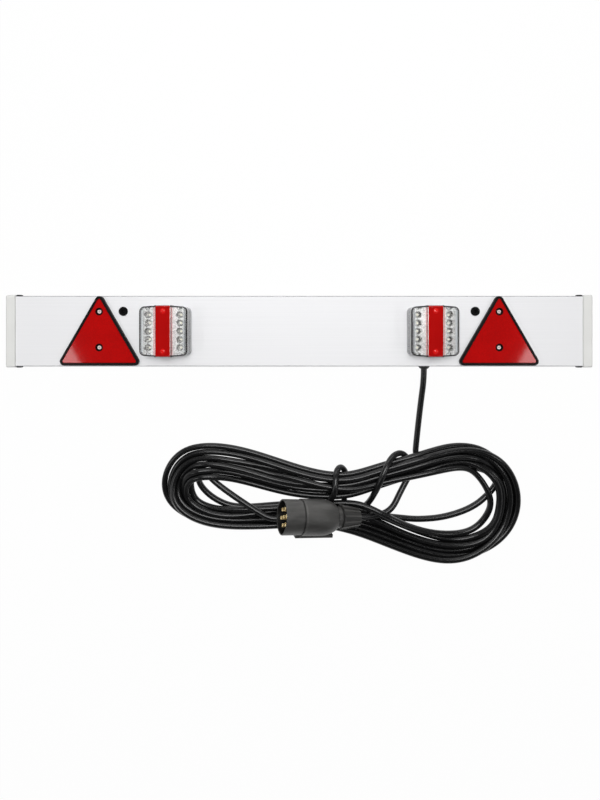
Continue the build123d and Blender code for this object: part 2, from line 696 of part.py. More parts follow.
def cable_nut():
    """Tapered cap over the neck, with straight ribs for grip and a hole for the cord."""
    front = nut_front()
    rear = front - NUT_LENGTH
    bore = NECK_RADIUS + PLUG_FIT
    cone = turned(
        (
            (bore, front),
            (NUT_FRONT_RADIUS, front),
            (NUT_REAR_RADIUS, rear),
            (CORD_RADIUS + CORD_FIT, rear),
            (CORD_RADIUS + CORD_FIT, rear + NUT_BACK_WALL),
            (GRIP_WALL + CORD_RADIUS + 2 * CORD_FIT, rear + NUT_BACK_WALL),
            (GRIP_WALL + CORD_RADIUS + 2 * CORD_FIT, front - NECK_LENGTH - PLUG_FIT),
            (bore, front - NECK_LENGTH - PLUG_FIT),
        )
    )
    swell = turned(
        (
            (NUT_FRONT_RADIUS - NUT_RIB_PROUD, front),
            (NUT_FRONT_RADIUS + NUT_RIB_PROUD, front),
            (NUT_REAR_RADIUS + NUT_RIB_PROUD, rear),
            (NUT_REAR_RADIUS - NUT_RIB_PROUD, rear),
        )
    )
    slab = Pos(0, 0, front - NUT_LENGTH / 2) * Box(4 * NUT_FRONT_RADIUS, NUT_RIB_WIDTH, NUT_LENGTH)
    for index in range(NUT_RIB_COUNT // 2):
        cone += swell & (Rot(0, 0, index * 360 / NUT_RIB_COUNT) * slab)
    return cone


def cord_grip():
    """Rubber sleeve in the nut that grips the cord."""
    rear = nut_front() - NUT_LENGTH + NUT_BACK_WALL
    inner = CORD_RADIUS + CORD_FIT
    return turned(
        (
            (inner, rear),
            (inner + GRIP_WALL, rear),
            (inner + GRIP_WALL, rear + GRIP_LENGTH),
            (inner, rear + GRIP_LENGTH),
        )
    )


def plug_room():
    """Space that the plug and its tail take up, for the dip that they press into the hank."""
    reach = BODY_LENGTH + COLLAR_LENGTH + NUT_LENGTH + SHELL_LENGTH
    barrel_end = -BODY_LENGTH
    barrel = Pos(0, 0, (SHELL_LENGTH + barrel_end) / 2) * Cylinder(
        BODY_RADIUS + PLUG_CLEARANCE, SHELL_LENGTH - barrel_end
    )
    nut_radius = NUT_FRONT_RADIUS + NUT_RIB_PROUD + PLUG_CLEARANCE
    nut_length = COLLAR_LENGTH + NUT_LENGTH + 2 * PLUG_FIT
    rear = Pos(0, 0, barrel_end - nut_length / 2) * Cylinder(nut_radius, nut_length)
    rail_reach = BODY_RADIUS + RAIL_PROUD + PLUG_CLEARANCE
    rail = Pos(rail_reach / 2, 0, SHELL_LENGTH - reach / 2) * Box(
        rail_reach, RAIL_WIDTH + 2 * PLUG_CLEARANCE, reach
    )
    tail = tail_points()[:-1]
    return plug_plane() * (barrel + rear + rail) + tube(tail, CORD_RADIUS + PLUG_CLEARANCE, corner_radii(tail))


def cord_hank():
    """Outer shape of the wound cable: a bevelled slab with an opening in each loop."""
    outline = make_face(FilletPolyline(*HANK_OUTLINE, radius=corner_radii(HANK_OUTLINE, True), close=True))
    for opening in (HANK_LEFT_OPENING, HANK_RIGHT_OPENING):
        outline -= make_face(FilletPolyline(*opening, radius=corner_radii(opening, True), close=True))
    hank = extrude(outline, HANK_HEIGHT)
    hank = chamfer(hank.edges().group_by(Axis.Z)[-1], HANK_BEVEL)
    return hank - plug_room()


def make_nodes():
    """Every node of the object by name."""
    axis = plug_plane()
    hank = cord_hank()
    nodes = {
        "board_profile": board_profile(),
        "supply_lead": supply_lead(),
        "link_lead": link_lead(),
        "cable_gland": cable_gland(),
        "cord_drop": cord_route(drop_points()) - hank,
        "cord_hank": hank,
        "cord_loose_right": cord_route(CORD_LOOSE_RIGHT) - hank,
        "cord_loose_left": cord_route(CORD_LOOSE_LEFT) - hank,
        "cord_tail": cord_route(tail_points()) - hank,
        "plug_shell": axis * plug_shell(),
        "plug_body": axis * plug_body(),
        "plug_contact_carrier": axis * contact_carrier(),
        "plug_contact_pins": axis * contact_pins(),
        "plug_cable_nut": axis * cable_nut(),
        "plug_cord_grip": axis * cord_grip(),
        "edge_clips": edge_clips(),
        "fixing_bushes": fixing_bushes(),
        "reflector_screws": reflector_screws(),
        "lamp_screws": lamp_screws(),
        "lamp_light_chips": light_chips(),
    }
    makers = {
        "end_cap": end_cap,
        "reflector_backing": reflector_backing,
        "reflector_lens": reflector_lens,
        "lamp_base": lamp_base,
        "lamp_seal": lamp_seal,
        "lamp_circuit_board": circuit_board,
        "lamp_mirror": lamp_mirror,
        "lamp_lens": lamp_lens,
        "lamp_strip": lamp_strip,
    }
    for name, maker in makers.items():
        for word, side in SIDES.items():
            nodes[f"{name}_{word}"] = maker(side)
    return nodes


def main():
    """Write one file for each node and print the bend radii and length of each free stretch of cord."""
    os.makedirs("parts", exist_ok=True)
    for name, shape in make_nodes().items():
        export_step(shape, f"parts/{name}.step")
    routes = {
        "cord_drop": drop_points(),
        "cord_loose_right": CORD_LOOSE_RIGHT,
        "cord_loose_left": CORD_LOOSE_LEFT,
        "cord_tail": tail_points(),
    }
    for name, points in routes.items():
        radii = corner_radii(points)
        length = FilletPolyline(*points, radius=radii).length
        print(name, "bend radii", [round(radius) for radius in radii], "length", round(length))


main()
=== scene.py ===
import logging
import math
from dataclasses import dataclass
from enum import Enum
from typing import Any, Dict, List, Optional, Sequence, Tuple, Union

import bpy
import numpy as np
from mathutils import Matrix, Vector


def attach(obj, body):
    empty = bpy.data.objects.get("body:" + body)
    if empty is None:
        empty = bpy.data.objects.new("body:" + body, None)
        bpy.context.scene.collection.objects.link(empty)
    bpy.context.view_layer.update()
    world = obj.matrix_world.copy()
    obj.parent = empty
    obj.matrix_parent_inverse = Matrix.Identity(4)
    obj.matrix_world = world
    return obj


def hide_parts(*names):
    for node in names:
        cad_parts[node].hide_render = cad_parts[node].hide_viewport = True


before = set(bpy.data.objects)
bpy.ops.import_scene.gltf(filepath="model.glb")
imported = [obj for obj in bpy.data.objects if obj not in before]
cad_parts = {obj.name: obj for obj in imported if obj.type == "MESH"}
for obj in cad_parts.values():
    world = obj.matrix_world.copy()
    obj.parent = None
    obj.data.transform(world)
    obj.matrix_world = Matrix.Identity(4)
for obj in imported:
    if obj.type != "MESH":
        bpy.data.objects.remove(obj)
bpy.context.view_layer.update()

# A trailer lighting board on a white floor, seen from straight above, with its wound cable and plug.
# Objects are in metres; the cable and the place of the plug are worked out in millimetres.

BODY = "root"
MM = 0.001
LAMP_MIDDLE = 0.2726  # distance of a lamp's middle from the middle of the board
SCREW_MIDDLE = 0.4138  # distance of the reflector screws from the middle of the board
SCREW_ROWS = (0.0405, -0.0337)  # heights of the reflector screws on the board
SOFT_EDGE = 0.0008  # width over which a painted edge fades
NOISE_RANGE = (0.25, 0.75)  # values that most of a noise lies between
WHITE = (1.0, 1.0, 1.0)
ZERO = (0.0, 0.0, 0.0)

Colour = Tuple[float, float, float]
Point = Tuple[float, float, float]
Pair = Tuple[float, float]
Path = Tuple[Point, ...]
Edge = Tuple[Pair, ...]
Table = Tuple[Tuple[float, ...], ...]
Array = np.ndarray
Node = bpy.types.Node
Socket = bpy.types.NodeSocket
Feed = Union[float, Sequence[float], Socket]

log = logging.getLogger("lighting_board")


class Side(Enum):
    """End of the board that a lamp or a reflector belongs to, as the sign of X."""

    LEFT = -1
    RIGHT = 1

    @property
    def word(self) -> str:
        """Word that ends the names of this side's nodes."""
        return self.name.lower()


class Effect(Enum):
    """Shared surface effects, each one shader node group: its name, its value inputs and its outputs."""

    GRAIN = ("moulded_grain", ("Fineness", "Mottling"), ("Grain", "Mottle"))
    DRAWN = ("drawn_lines", ("Fineness",), ("Line",))
    PRISMS = ("lens_prisms", ("Pitch",), ("Relief", "Tone"))
    HANDLING = ("handling_marks", ("Spread",), ("Mark",))


class Web:
    """Small helper that adds nodes to one shader tree and links them."""

    def __init__(self, tree: bpy.types.NodeTree) -> None:
        """Keep the tree that the nodes go into."""
        self.tree = tree

    def add(self, kind: str, *feeds: Feed, **settings: Any) -> Node:
        """Add one shader node.

        Args:
            kind: Type of the node.
            feeds: What its first inputs take, in order.
            settings: Properties of the node to set.

        Returns:
            The new node.
        """
        node = self.tree.nodes.new(f"ShaderNode{kind}")
        for key, value in settings.items():
            setattr(node, key, value)
        for socket, value in zip(node.inputs, feeds):
            self.feed(socket, value)
        return node

    def feed(self, socket: Socket, value: Feed) -> None:
        """Link an input to an output, or set its constant.

        Args:
            socket: Input to feed.
            value: Output to link, or a plain value.
        """
        if isinstance(value, Socket):
            self.tree.links.new(value, socket)
        else:
            socket.default_value = (*value, 1.0) if socket.type == "RGBA" else value

    def fill(self, node: Node, values: Dict[str, Feed]) -> Node:
        """Feed inputs of a node by their names.

        Args:
            node: Node to feed.
            values: What each named input takes.

        Returns:
            The same node.
        """
        for name, value in values.items():
            self.feed(node.inputs[name], value)
        return node

    @property
    def place(self) -> Socket:
        """Place on the surface: object coordinates, in metres."""
        return self.add("TexCoord").outputs["Object"]

    def split(self, vector: Feed) -> Tuple[Socket, ...]:
        """X, Y and Z of a vector."""
        return tuple(self.add("SeparateXYZ", vector).outputs)

    def join(self, x: Feed, y: Feed, z: Feed) -> Socket:
        """Vector of three values."""
        return self.add("CombineXYZ", x, y, z).outputs[0]

    def math(self, operation: str, *values: Feed) -> Socket:
        """Result of a named operation on one to three values."""
        return self.add("Math", *values, operation=operation).outputs[0]

    def times(self, first: Feed, second: Feed) -> Socket:
        """Product of two values."""
        return self.math("MULTIPLY", first, second)

    def lift(self, value: Feed, factor: Feed, start: Feed = 1.0) -> Socket:
        """Start, with a value times a factor added to it."""
        return self.math("MULTIPLY_ADD", value, factor, start)

    def size(self, value: Feed) -> Socket:
        """Value without its sign."""
        return self.math("ABSOLUTE", value)

    def gap(self, first: Feed, second: Feed) -> Socket:
        """Distance between two values."""
        return self.size(self.math("SUBTRACT", first, second))

    def most(self, *values: Feed) -> Socket:
        """Largest of three values."""
        return self.math("MAXIMUM", self.math("MAXIMUM", values[0], values[1]), values[2])

    def reach(self, *parts: Feed) -> Socket:
        """Length of a vector with two given parts."""
        return self.math("SQRT", self.math("ADD", *(self.math("POWER", part, 2.0) for part in parts)))

    def ridge(self, count: Feed) -> Socket:
        """Triangle wave that is 1 at whole counts and 0 halfway between them."""
        return self.size(self.lift(self.math("FRACT", count), 2.0, -1.0))

    def step(self, value: Feed, low: float, high: float, start: float = 0.0, end: float = 1.0) -> Socket:
        """Smooth change from start to end while a value goes from low to high."""
        return self.add("MapRange", value, low, high, start, end, interpolation_type="SMOOTHSTEP").outputs[0]

    def band(self, value: Feed, middle: float, half: float) -> Socket:
        """1 where a value is at a middle, falling softly to 0 at a distance of one half from it."""
        return self.step(self.gap(value, middle), half, 0.5 * half)

    def stretch(self, vector: Feed, scale: Point = (1.0, 1.0, 1.0), turn: float = 0.0) -> Socket:
        """Vector with its three parts scaled, and then turned about Z by an angle in radians."""
        return self.add("Mapping", vector, ZERO, (0.0, 0.0, turn), scale).outputs[0]

    def along(self, vector: Feed, direction: Sequence[float]) -> Socket:
        """Part of a vector along a direction of length 1."""
        return self.add("VectorMath", vector, direction, operation="DOT_PRODUCT").outputs["Value"]

    def noise(self, vector: Feed, scale: Feed, detail: float = 2.0) -> Socket:
        """Noise about 0.5, with a scale in features for each unit and a number of finer layers."""
        return self.add("TexNoise", vector, 0.0, scale, detail).outputs[0]

    def shade(self, colour: Feed, tone: Feed) -> Socket:
        """Colour made lighter or darker by a tone."""
        return self.add("VectorMath", colour, ZERO, ZERO, tone, operation="SCALE").outputs[0]

    def blend(self, share: Feed, first: Feed, second: Feed) -> Socket:
        """Mix two colours.

        Args:
            share: Share of the second colour.
            first: Colour where the share is 0.
            second: Colour where the share is 1.

        Returns:
            The mixed colour.
        """
        node = self.add("Mix", share, data_type="RGBA")
        for socket, value in zip((s for s in node.inputs if s.type == "RGBA"), (first, second)):
            self.feed(socket, value)
        return next(s for s in node.outputs if s.type == "RGBA")

    def relief(self, height: Feed, depth: float) -> Socket:
        """Normal of a surface with a height pattern from 0 to 1 and a depth in metres."""
        return self.fill(self.add("Bump"), {"Strength": 1.0, "Distance": depth, "Height": height}).outputs[0]

    def effect(self, effect: Effect, **values: Feed) -> Dict[str, Socket]:
        """Outputs, by name, of a shared effect on this surface with the given inputs."""
        node = self.fill(self.add("Group", node_tree=EffectShelf.get(effect)), {"Place": self.place, **values})
        return {s.name: s for s in node.outputs}

    def from_places(self, middle: float, rows: Sequence[float]) -> Tuple[Socket, Socket]:
        """Offsets from the nearest of some places that repeat at both ends of the board.

        Args:
            middle: Distance of the places from the middle of the board.
            rows: Their one or two heights on the board.

        Returns:
            The offset along X, and the distance along Y.
        """
        x, y, _ = self.split(self.place)
        ups = [self.gap(y, row) for row in rows]
        return self.math("SUBTRACT", self.size(x), middle), self.math("MINIMUM", ups[0], ups[-1])

    def surface(self, share: Feed, first: Node, second: Node) -> None:
        """Send a mix of two shaders to the output.

        Args:
            share: Share of the second shader.
            first: Shader where the share is 0.
            second: Shader where the share is 1.
        """
        output = next(node for node in self.tree.nodes if node.type.startswith("OUTPUT"))
        mix = self.add("MixShader", share, first.outputs[0], second.outputs[0])
        self.feed(output.inputs["Surface"], mix.outputs[0])


class EffectShelf:
    """Node groups of the shared effects, each built at its first use."""

    @classmethod
    def get(cls, effect: Effect) -> bpy.types.NodeTree:
        """Find or build the group of an effect.

        Args:
            effect: Which effect.

        Returns:
            Its node group, which takes a place and the values that the effect names.
        """
        name, inputs, outputs = effect.value
        tree = bpy.data.node_groups.get(name)
        if tree is None:
            tree = bpy.data.node_groups.new(name, "ShaderNodeTree")
            sockets = [("Place", "INPUT", "Vector"), *((given, "INPUT", "Float") for given in inputs)]
            for socket, way, kind in (*sockets, *((result, "OUTPUT", "Float") for result in outputs)):
                tree.interface.new_socket(name=socket, in_out=way, socket_type=f"NodeSocket{kind}")
            web, given = Web(tree), tree.nodes.new("NodeGroupInput").outputs
            web.fill(tree.nodes.new("NodeGroupOutput"), getattr(cls, name)(web, *given[: len(inputs) + 1]))
        return tree

    @staticmethod
    def moulded_grain(web: Web, place: Feed, fineness: Feed, mottling: Feed) -> Dict[str, Feed]:
        """Fine grain of a mould's surface and the slow mottle of its colour."""
        return {"Grain": web.noise(place, fineness, 3.0), "Mottle": web.noise(place, mottling)}

    @staticmethod
    def drawn_lines(web: Web, place: Feed, fineness: Feed) -> Dict[str, Feed]:
        """Faint long lines that a die leaves along X on an extrusion."""
        return {"Line": web.noise(web.stretch(place, (0.004, 1.0, 1.0)), fineness, 4.0)}

    @staticmethod
    def lens_prisms(web: Web, place: Feed, pitch: Feed) -> Dict[str, Feed]:
        """Three sets of ridges, 60 degrees apart, that meet in small three-sided prisms.

        Args:
            web: Helper of the group.
            place: Place on the surface.
            pitch: Distance between ridges.

        Returns:
            The relief, which is the mean of three triangle waves, and a random tone for each of their cells.
        """
        turns = (0.0, math.pi / 3, 2 * math.pi / 3)
        counts = [web.math("DIVIDE", web.split(web.stretch(place, turn=turn))[0], pitch) for turn in turns]
        first, second, third = (web.ridge(count) for count in counts)
        total = web.math("ADD", web.math("ADD", first, second), third)
        cell = web.join(*(web.math("FLOOR", count) for count in counts))
        return {"Relief": web.math("DIVIDE", total, 3.0), "Tone": web.add("TexWhiteNoise", cell).outputs["Value"]}

    @staticmethod
    def handling_marks(web: Web, place: Feed, spread: Feed) -> Dict[str, Feed]:
        """Patches where hands have dulled a surface, broken up by finer specks."""
        patch = web.step(web.noise(place, spread, 3.0), 0.48, 0.68)
        return {"Mark": web.times(patch, web.step(web.noise(place, 1400.0), 0.4, 0.7))}


def blank(name: str) -> Tuple[bpy.types.Material, Web, Node]:
    """New material, with its helper and its Principled shader.

    Args:
        name: Name of the material.

    Returns:
        The material, its helper and its shader.
    """
    material = bpy.data.materials.new(name)
    material.use_nodes = True
    return material, Web(material.node_tree), material.node_tree.nodes["Principled BSDF"]


@dataclass(frozen=True)
class Finish:
    """Plain moulded finish: colour with a slow mottle, and a fine grain in roughness and relief."""

    name: str
    slot: str  # material slot of the record that the finish belongs to
    colour: Colour  # linear
    roughness: float
    metallic: float = 0.0
    specular: float = 0.5  # specular level; 0.5 is plain plastic
    coat: float = 0.0  # weight of a clear coat
    coat_roughness: float = 0.04
    fineness: float = 900.0  # grains for each metre
    mottling: float = 18.0  # patches of tone for each metre
    variety: float = 0.06  # share by which the tone of the colour varies
    spread: float = 0.05  # amount by which the roughness varies
    depth: float = 0.00003  # depth of the grain in metres
    mark_spread: float = 24.0  # handling marks for each metre
    mark_roughness: float = 0.08  # roughness that they add

    def make(self) -> bpy.types.Material:
        """Material of this finish, built at its first use.

        Returns:
            The material.
        """
        material = bpy.data.materials.get(self.name)
        if material is None:
            material, web, shader = blank(self.name)
            web.fill(shader, self.constants())
            self.paint(web, shader)
            self.finish_off(web, shader)
        return material

    def constants(self) -> Dict[str, float]:
        """Values of the shader that are the same all over the surface."""
        coat = {"Coat Weight": self.coat, "Coat Roughness": self.coat_roughness}
        return {"Metallic": self.metallic, "Specular IOR Level": self.specular, **coat}

    def paint(self, web: Web, shader: Node) -> None:
        """Link colour, roughness and relief.

        Args:
            web: Helper of the material's tree.
            shader: Principled shader of the material.
        """
        grain = web.effect(Effect.GRAIN, Fineness=self.fineness, Mottling=self.mottling)
        tone = web.step(grain["Mottle"], *NOISE_RANGE, 1.0 - self.variety, 1.0 + self.variety)
        rough = web.step(grain["Grain"], *NOISE_RANGE, self.roughness - self.spread, self.roughness + self.spread)
        links = {
            "Base Color": self.colours(web, web.shade(self.colour, tone)),
            "Roughness": self.dulling(web, rough),
            "Normal": web.relief(*self.heights(web, grain["Grain"])),
        }
        web.fill(shader, links)

    def colours(self, web: Web, base: Feed) -> Feed:
        """Colour with the marks of this finish; the plain finish has none."""
        return base

    def dulling(self, web: Web, rough: Feed) -> Feed:
        """Roughness with handling marks, which dull the surface a little."""
        return web.lift(web.effect(Effect.HANDLING, Spread=self.mark_spread)["Mark"], self.mark_roughness, rough)

    def heights(self, web: Web, grain: Feed) -> Tuple[Feed, float]:
        """Height pattern of the relief and its depth; the plain finish has its grain."""
        return grain, self.depth

    def finish_off(self, web: Web, shader: Node) -> None:
        """Last links of the material; the plain finish needs none."""


@dataclass(frozen=True)
class BoardPaint(Finish):
    """White extrusion with faint drawn lines, and painted shade on the turned edges along top and bottom."""

    edge: float = 0.0716  # distance from the middle of the board at which the painted edge shade starts
    front: float = 0.0236  # height from which the edge turns over to the front
    # painted shade where the rounded edges turn over
    edge_shade_colour: Colour = (0.34, 0.34, 0.36)
    colour_lines: float = 420.0  # drawn lines in the colour for each metre
    relief_lines: float = 900.0  # drawn lines in the relief for each metre
    line_tones: Pair = (0.985, 1.01)

    def colours(self, web: Web, base: Feed) -> Feed:
        """White with drawn lines and painted shade on the edges.

        Args:
            web: Helper of the material's tree.
            base: Colour without marks.

        Returns:
            The marked colour.
        """
        line = web.effect(Effect.DRAWN, Fineness=self.colour_lines)["Line"]
        lined = web.shade(base, web.step(line, 0.3, 0.7, *self.line_tones))
        _, y, z = web.split(web.place)
        # painted shade on the rounded top and bottom edges, where they turn over to the front
        turned = web.step(web.size(y), self.edge, self.edge + SOFT_EDGE)
        edge = web.times(turned, web.step(z, self.front, self.front + SOFT_EDGE))
        return web.blend(edge, lined, self.edge_shade_colour)

    def heights(self, web: Web, grain: Feed) -> Tuple[Feed, float]:
        """Relief of the drawn lines."""
        return web.effect(Effect.DRAWN, Fineness=self.relief_lines)["Line"], self.depth


@dataclass(frozen=True)
class CapPlastic(Finish):
    """Light grey cap with painted shade over its outer end, along its inner lip, and at top and bottom."""

    outer: float = 0.6074  # distance from the middle at which the outer end turns away
    lip: float = 0.5925  # distance from the middle at which the inner lip starts
    top: float = 0.0738  # distance from the middle at which top and bottom turn away
    front: float = 0.0256  # height from which the edges turn over to the front
    fades: Point = (0.0016, 0.0012, 0.0014)  # widths over which the painted shade of the outer end, the lip, and top and bottom comes in
    shade_losses: Point = (-0.3, -0.16, -0.12)  # changes of tone by the painted shade there

    def colours(self, web: Web, base: Feed) -> Feed:
        """Grey with its bands of painted shade.

        Args:
            web: Helper of the material's tree.
            base: Colour without marks.

        Returns:
            The marked colour.
        """
        x, y, z = web.split(web.place)
        along = web.size(x)
        turned = web.step(z, self.front, self.front + SOFT_EDGE)
        end, lip, top = self.fades
        # painted shade over the outer end, along the inner lip, and at top and bottom
        shade_masks = (
            web.times(turned, web.step(along, self.outer, self.outer + end)),
            web.step(along, self.lip, self.lip - lip),
            web.times(turned, web.step(web.size(y), self.top, self.top + top)),
        )
        tone = 1.0
        for mask, loss in zip(shade_masks, self.shade_losses):
            tone = web.lift(mask, loss, tone)
        return web.shade(base, tone)


@dataclass(frozen=True)
class ReflectorLens(Finish):
    """Red lens with three-sided prisms under a clear flat front, and a dark well about each screw."""

    pitch: float = 0.0026  # distance between ridges
    well: float = 0.0086  # radius of a well
    well_fade: float = 0.001  # width over which its edge fades
    well_colour: Colour = (0.03, 0.003, 0.003)
    cell_tones: Pair = (0.93, 1.07)

    def colours(self, web: Web, base: Feed) -> Feed:
        """Red whose small cells differ a little in tone, with dark wells.

        Args:
            web: Helper of the material's tree.
            base: Colour without marks.

        Returns:
            The marked colour.
        """
        tone = web.effect(Effect.PRISMS, Pitch=self.pitch)["Tone"]
        red = web.shade(base, web.step(tone, 0.0, 1.0, *self.cell_tones))
        far = web.reach(*web.from_places(SCREW_MIDDLE, SCREW_ROWS))
        return web.blend(web.step(far, self.well, self.well - self.well_fade), red, self.well_colour)

    def heights(self, web: Web, grain: Feed) -> Tuple[Feed, float]:
        """Relief of the prisms."""
        return web.effect(Effect.PRISMS, Pitch=self.pitch)["Relief"], self.depth


@dataclass(frozen=True)
class StripLens(Finish):
    """Red strip lens with cross flutes and a painted highlight on a dome near each end."""

    dome: float = 0.0406  # distance of a dome from the strip's middle
    dome_radius: float = 0.0047
    flute: float = 0.0021  # pitch of the flutes
    # painted highlight on the domes
    dome_highlight_colour: Colour = (0.8, 0.012, 0.01)

    def colours(self, web: Web, base: Feed) -> Feed:
        """Red with a painted highlight on each dome.

        Args:
            web: Helper of the material's tree.
            base: Colour without marks.

        Returns:
            The marked colour.
        """
        # painted highlight on the dome near each end of the strip
        far = web.reach(*web.from_places(LAMP_MIDDLE, (self.dome, -self.dome)))
        near = web.step(far, self.dome_radius * 1.5, self.dome_radius * 0.5)
        return web.blend(near, base, self.dome_highlight_colour)

    def heights(self, web: Web, grain: Feed) -> Tuple[Feed, float]:
        """Relief of the flutes, a rounded wave along Y."""
        wave = web.math("SINE", web.times(web.split(web.place)[1], 2 * math.pi / self.flute))
        return web.lift(wave, 0.5, 0.5), self.depth


@dataclass(frozen=True)
class ClearLens(Finish):
    """Clear lens with painted shade along its bowed top and bottom edges, at its sides and on its walls, and a painted
    pink glow from the red strip on the ribs beside it.
    """

    half_width: float = 0.04825
    half_height: float = 0.05175  # half of its height at the middle
    arch: float = 0.003  # height that the bowed edges lose at the corners
    rib: float = 0.0172  # distance of a rib from the lens's middle
    front: float = 0.0555  # height from which the walls turn over to the front
    # painted shade along the bowed top and bottom edges
    edge_shade_colour: Colour = (0.16, 0.16, 0.17)
    side_shade_colour: Colour = (0.3, 0.3, 0.305)  # painted shade of the edges at the sides
    wall_shade_colour: Colour = (0.58, 0.585, 0.59)  # painted shade of the walls below the edges
    rib_glow_colour: Colour = (0.95, 0.58, 0.58)  # painted pink glow that the ribs take from the red strip
    side_fade: Pair = (0.0088, 0.004)  # distances from the side between which the painted shade comes in
    rib_half: float = 0.0022  # half of a rib's width
    edge_fade: Pair = (0.0042, 0.0024)  # distances from the bowed edge between which the painted shade comes in
    wall_fade: float = 0.003  # height over which the painted shade of the walls fades
    shadow_colour: Colour = (0.9, 0.91, 0.91)  # tint of the light that it lets through

    def constants(self) -> Dict[str, float]:
        """Values of clear plastic."""
        return {**super().constants(), "Transmission Weight": 1.0, "IOR": 1.45}

    def colours(self, web: Web, base: Feed) -> Feed:
        """Clear with painted shade on sides, edges and walls, and a painted pink glow on the ribs.

        Args:
            web: Helper of the material's tree.
            base: Colour without marks.

        Returns:
            The marked colour.
        """
        x, y, z = web.split(web.place)
        across = web.gap(web.size(x), LAMP_MIDDLE)
        share = web.math("POWER", web.math("DIVIDE", across, self.half_width), 2.0)
        reach = web.lift(share, self.arch, web.size(y))
        # painted shade on sides, edges and walls, and a painted pink glow of the red strip on the ribs
        painted_tints = (
            (web.step(across, *(self.half_width - part for part in self.side_fade)), self.side_shade_colour),
            (web.band(across, self.rib, self.rib_half), self.rib_glow_colour),
            (web.step(reach, *(self.half_height - part for part in self.edge_fade)), self.edge_shade_colour),
            (web.step(z, self.front + self.wall_fade, self.front), self.wall_shade_colour),
        )
        for mask, tint in painted_tints:
            base = web.blend(mask, base, tint)
        return base

    def finish_off(self, web: Web, shader: Node) -> None:
        """Let lamps shine through: a shadow ray meets clear plastic."""
        through = web.add("BsdfTransparent", self.shadow_colour)
        web.surface(web.add("LightPath").outputs["Is Shadow Ray"], shader, through)


@dataclass(frozen=True)
class ScrewSteel(Finish):
    """Bright steel screw heads with a cross recess, on places that repeat at both ends of the board."""

    head: float = 0.0047  # radius of a head
    arm: float = 0.0026  # reach of the recess's arms
    width: float = 0.0011  # width of the recess's arms
    recess_depth: float = 0.0012
    rim: Pair = (0.0012, 0.0005)  # distances from a head's edge between which the painted shade comes in
    recess_shade_colour: Colour = (0.55, 0.45, 0.43)  # painted shade in the recess
    rim_shade_colour: Colour = (0.09, 0.04, 0.04)  # painted shade round the edge of a head

    def recess(self, web: Web) -> Feed:
        """Mask of the cross recesses: two crossed bars about the nearest screw's middle.

        Args:
            web: Helper of the material's tree.

        Returns:
            1 in a recess and 0 elsewhere.
        """
        across, up = web.from_places(SCREW_MIDDLE, SCREW_ROWS)
        slim, long = (web.math(operation, web.size(across), up) for operation in ("MINIMUM", "MAXIMUM"))
        thin = web.step(slim, self.width * 0.65, self.width * 0.35)
        return web.times(thin, web.step(long, self.arm * 1.15, self.arm * 0.85))

    def colours(self, web: Web, base: Feed) -> Feed:
        """Steel with painted shade in the recesses and round the edge of each head.

        Args:
            web: Helper of the material's tree.
            base: Colour without marks.

        Returns:
            The marked colour.
        """
        far = web.reach(*web.from_places(SCREW_MIDDLE, SCREW_ROWS))
        # painted shade in the cross recesses and round the edge of each head
        rim = web.step(far, *(self.head - part for part in self.rim))
        return web.blend(rim, web.blend(self.recess(web), base, self.recess_shade_colour), self.rim_shade_colour)

    def heights(self, web: Web, grain: Feed) -> Tuple[Feed, float]:
        """Relief of the recesses."""
        return web.lift(self.recess(web), -1.0), self.recess_depth


@dataclass(frozen=True)
class MirrorCups(Finish):
    """Bright mirror whose cups show painted reflections: dark, broken crescents of what they reflect."""

    column: float = 0.032  # distance of a column of cups from the lamp's middle
    pitch: float = 0.0166  # distance between cups
    shake: float = 0.0045  # distance by which noise moves the crescents
    # Radius, half width and strength of the right, lower and left painted crescents
    crescents: Table = (
        (0.0046, 0.0016, 0.95),
        (0.0025, 0.0013, 0.85),
        (0.0066, 0.0013, 0.7),
    )
    # painted reflection: colour of the dark crescents
    crescent_reflection_colour: Colour = (0.07, 0.07, 0.066)
    crescent_fade: float = 0.0012  # distance over which a crescent ends
    shake_scales: Pair = (260.0, 310.0)  # waves of the noise along X and along Y for each metre
    facets: float = 420.0  # facets for each metre
    facet_tones: Pair = (0.72, 1.06)

    def from_cup(self, web: Web) -> Tuple[Feed, Feed]:
        """Offsets in X and Y from the middle of the nearest cup, shaken a little by noise.

        Args:
            web: Helper of the material's tree.

        Returns:
            The offset along X and the offset along Y.
        """
        right, y, _ = web.split(web.place)
        for middle in (LAMP_MIDDLE, self.column):
            right = web.lift(web.math("SIGN", right), -middle, right)
        up = web.lift(web.math("FRACT", web.lift(y, 1 / self.pitch, 0.5)), self.pitch, -0.5 * self.pitch)
        spots = zip((web.place, web.stretch(web.place, (-1.0, 1.0, 1.0))), self.shake_scales)
        shakes = [web.lift(web.noise(spot, scale, 1.0), 2 * self.shake, -self.shake) for spot, scale in spots]
        return web.math("ADD", right, shakes[0]), web.math("ADD", up, shakes[1])

    def colours(self, web: Web, base: Feed) -> Feed:
        """Silver with painted reflections as crescents: rings about the cup's middle, each kept to one side of it.

        Args:
            web: Helper of the material's tree.
            base: Colour without marks.

        Returns:
            The marked colour.
        """
        fade = self.crescent_fade
        right, up = self.from_cup(web)
        far = web.reach(right, up)
        sides = (right, web.times(up, -1.0), web.times(right, -1.0))
        # painted reflections: dark crescents in each cup
        dark = [
            web.times(web.band(far, radius, half), web.step(side, -fade, fade, 0.0, strength))
            for side, (radius, half, strength) in zip(sides, self.crescents)
        ]
        facets = web.step(web.noise(web.place, self.facets, 1.0), 0.35, 0.65, *self.facet_tones)
        return web.blend(web.most(*dark), web.shade(base, facets), self.crescent_reflection_colour)


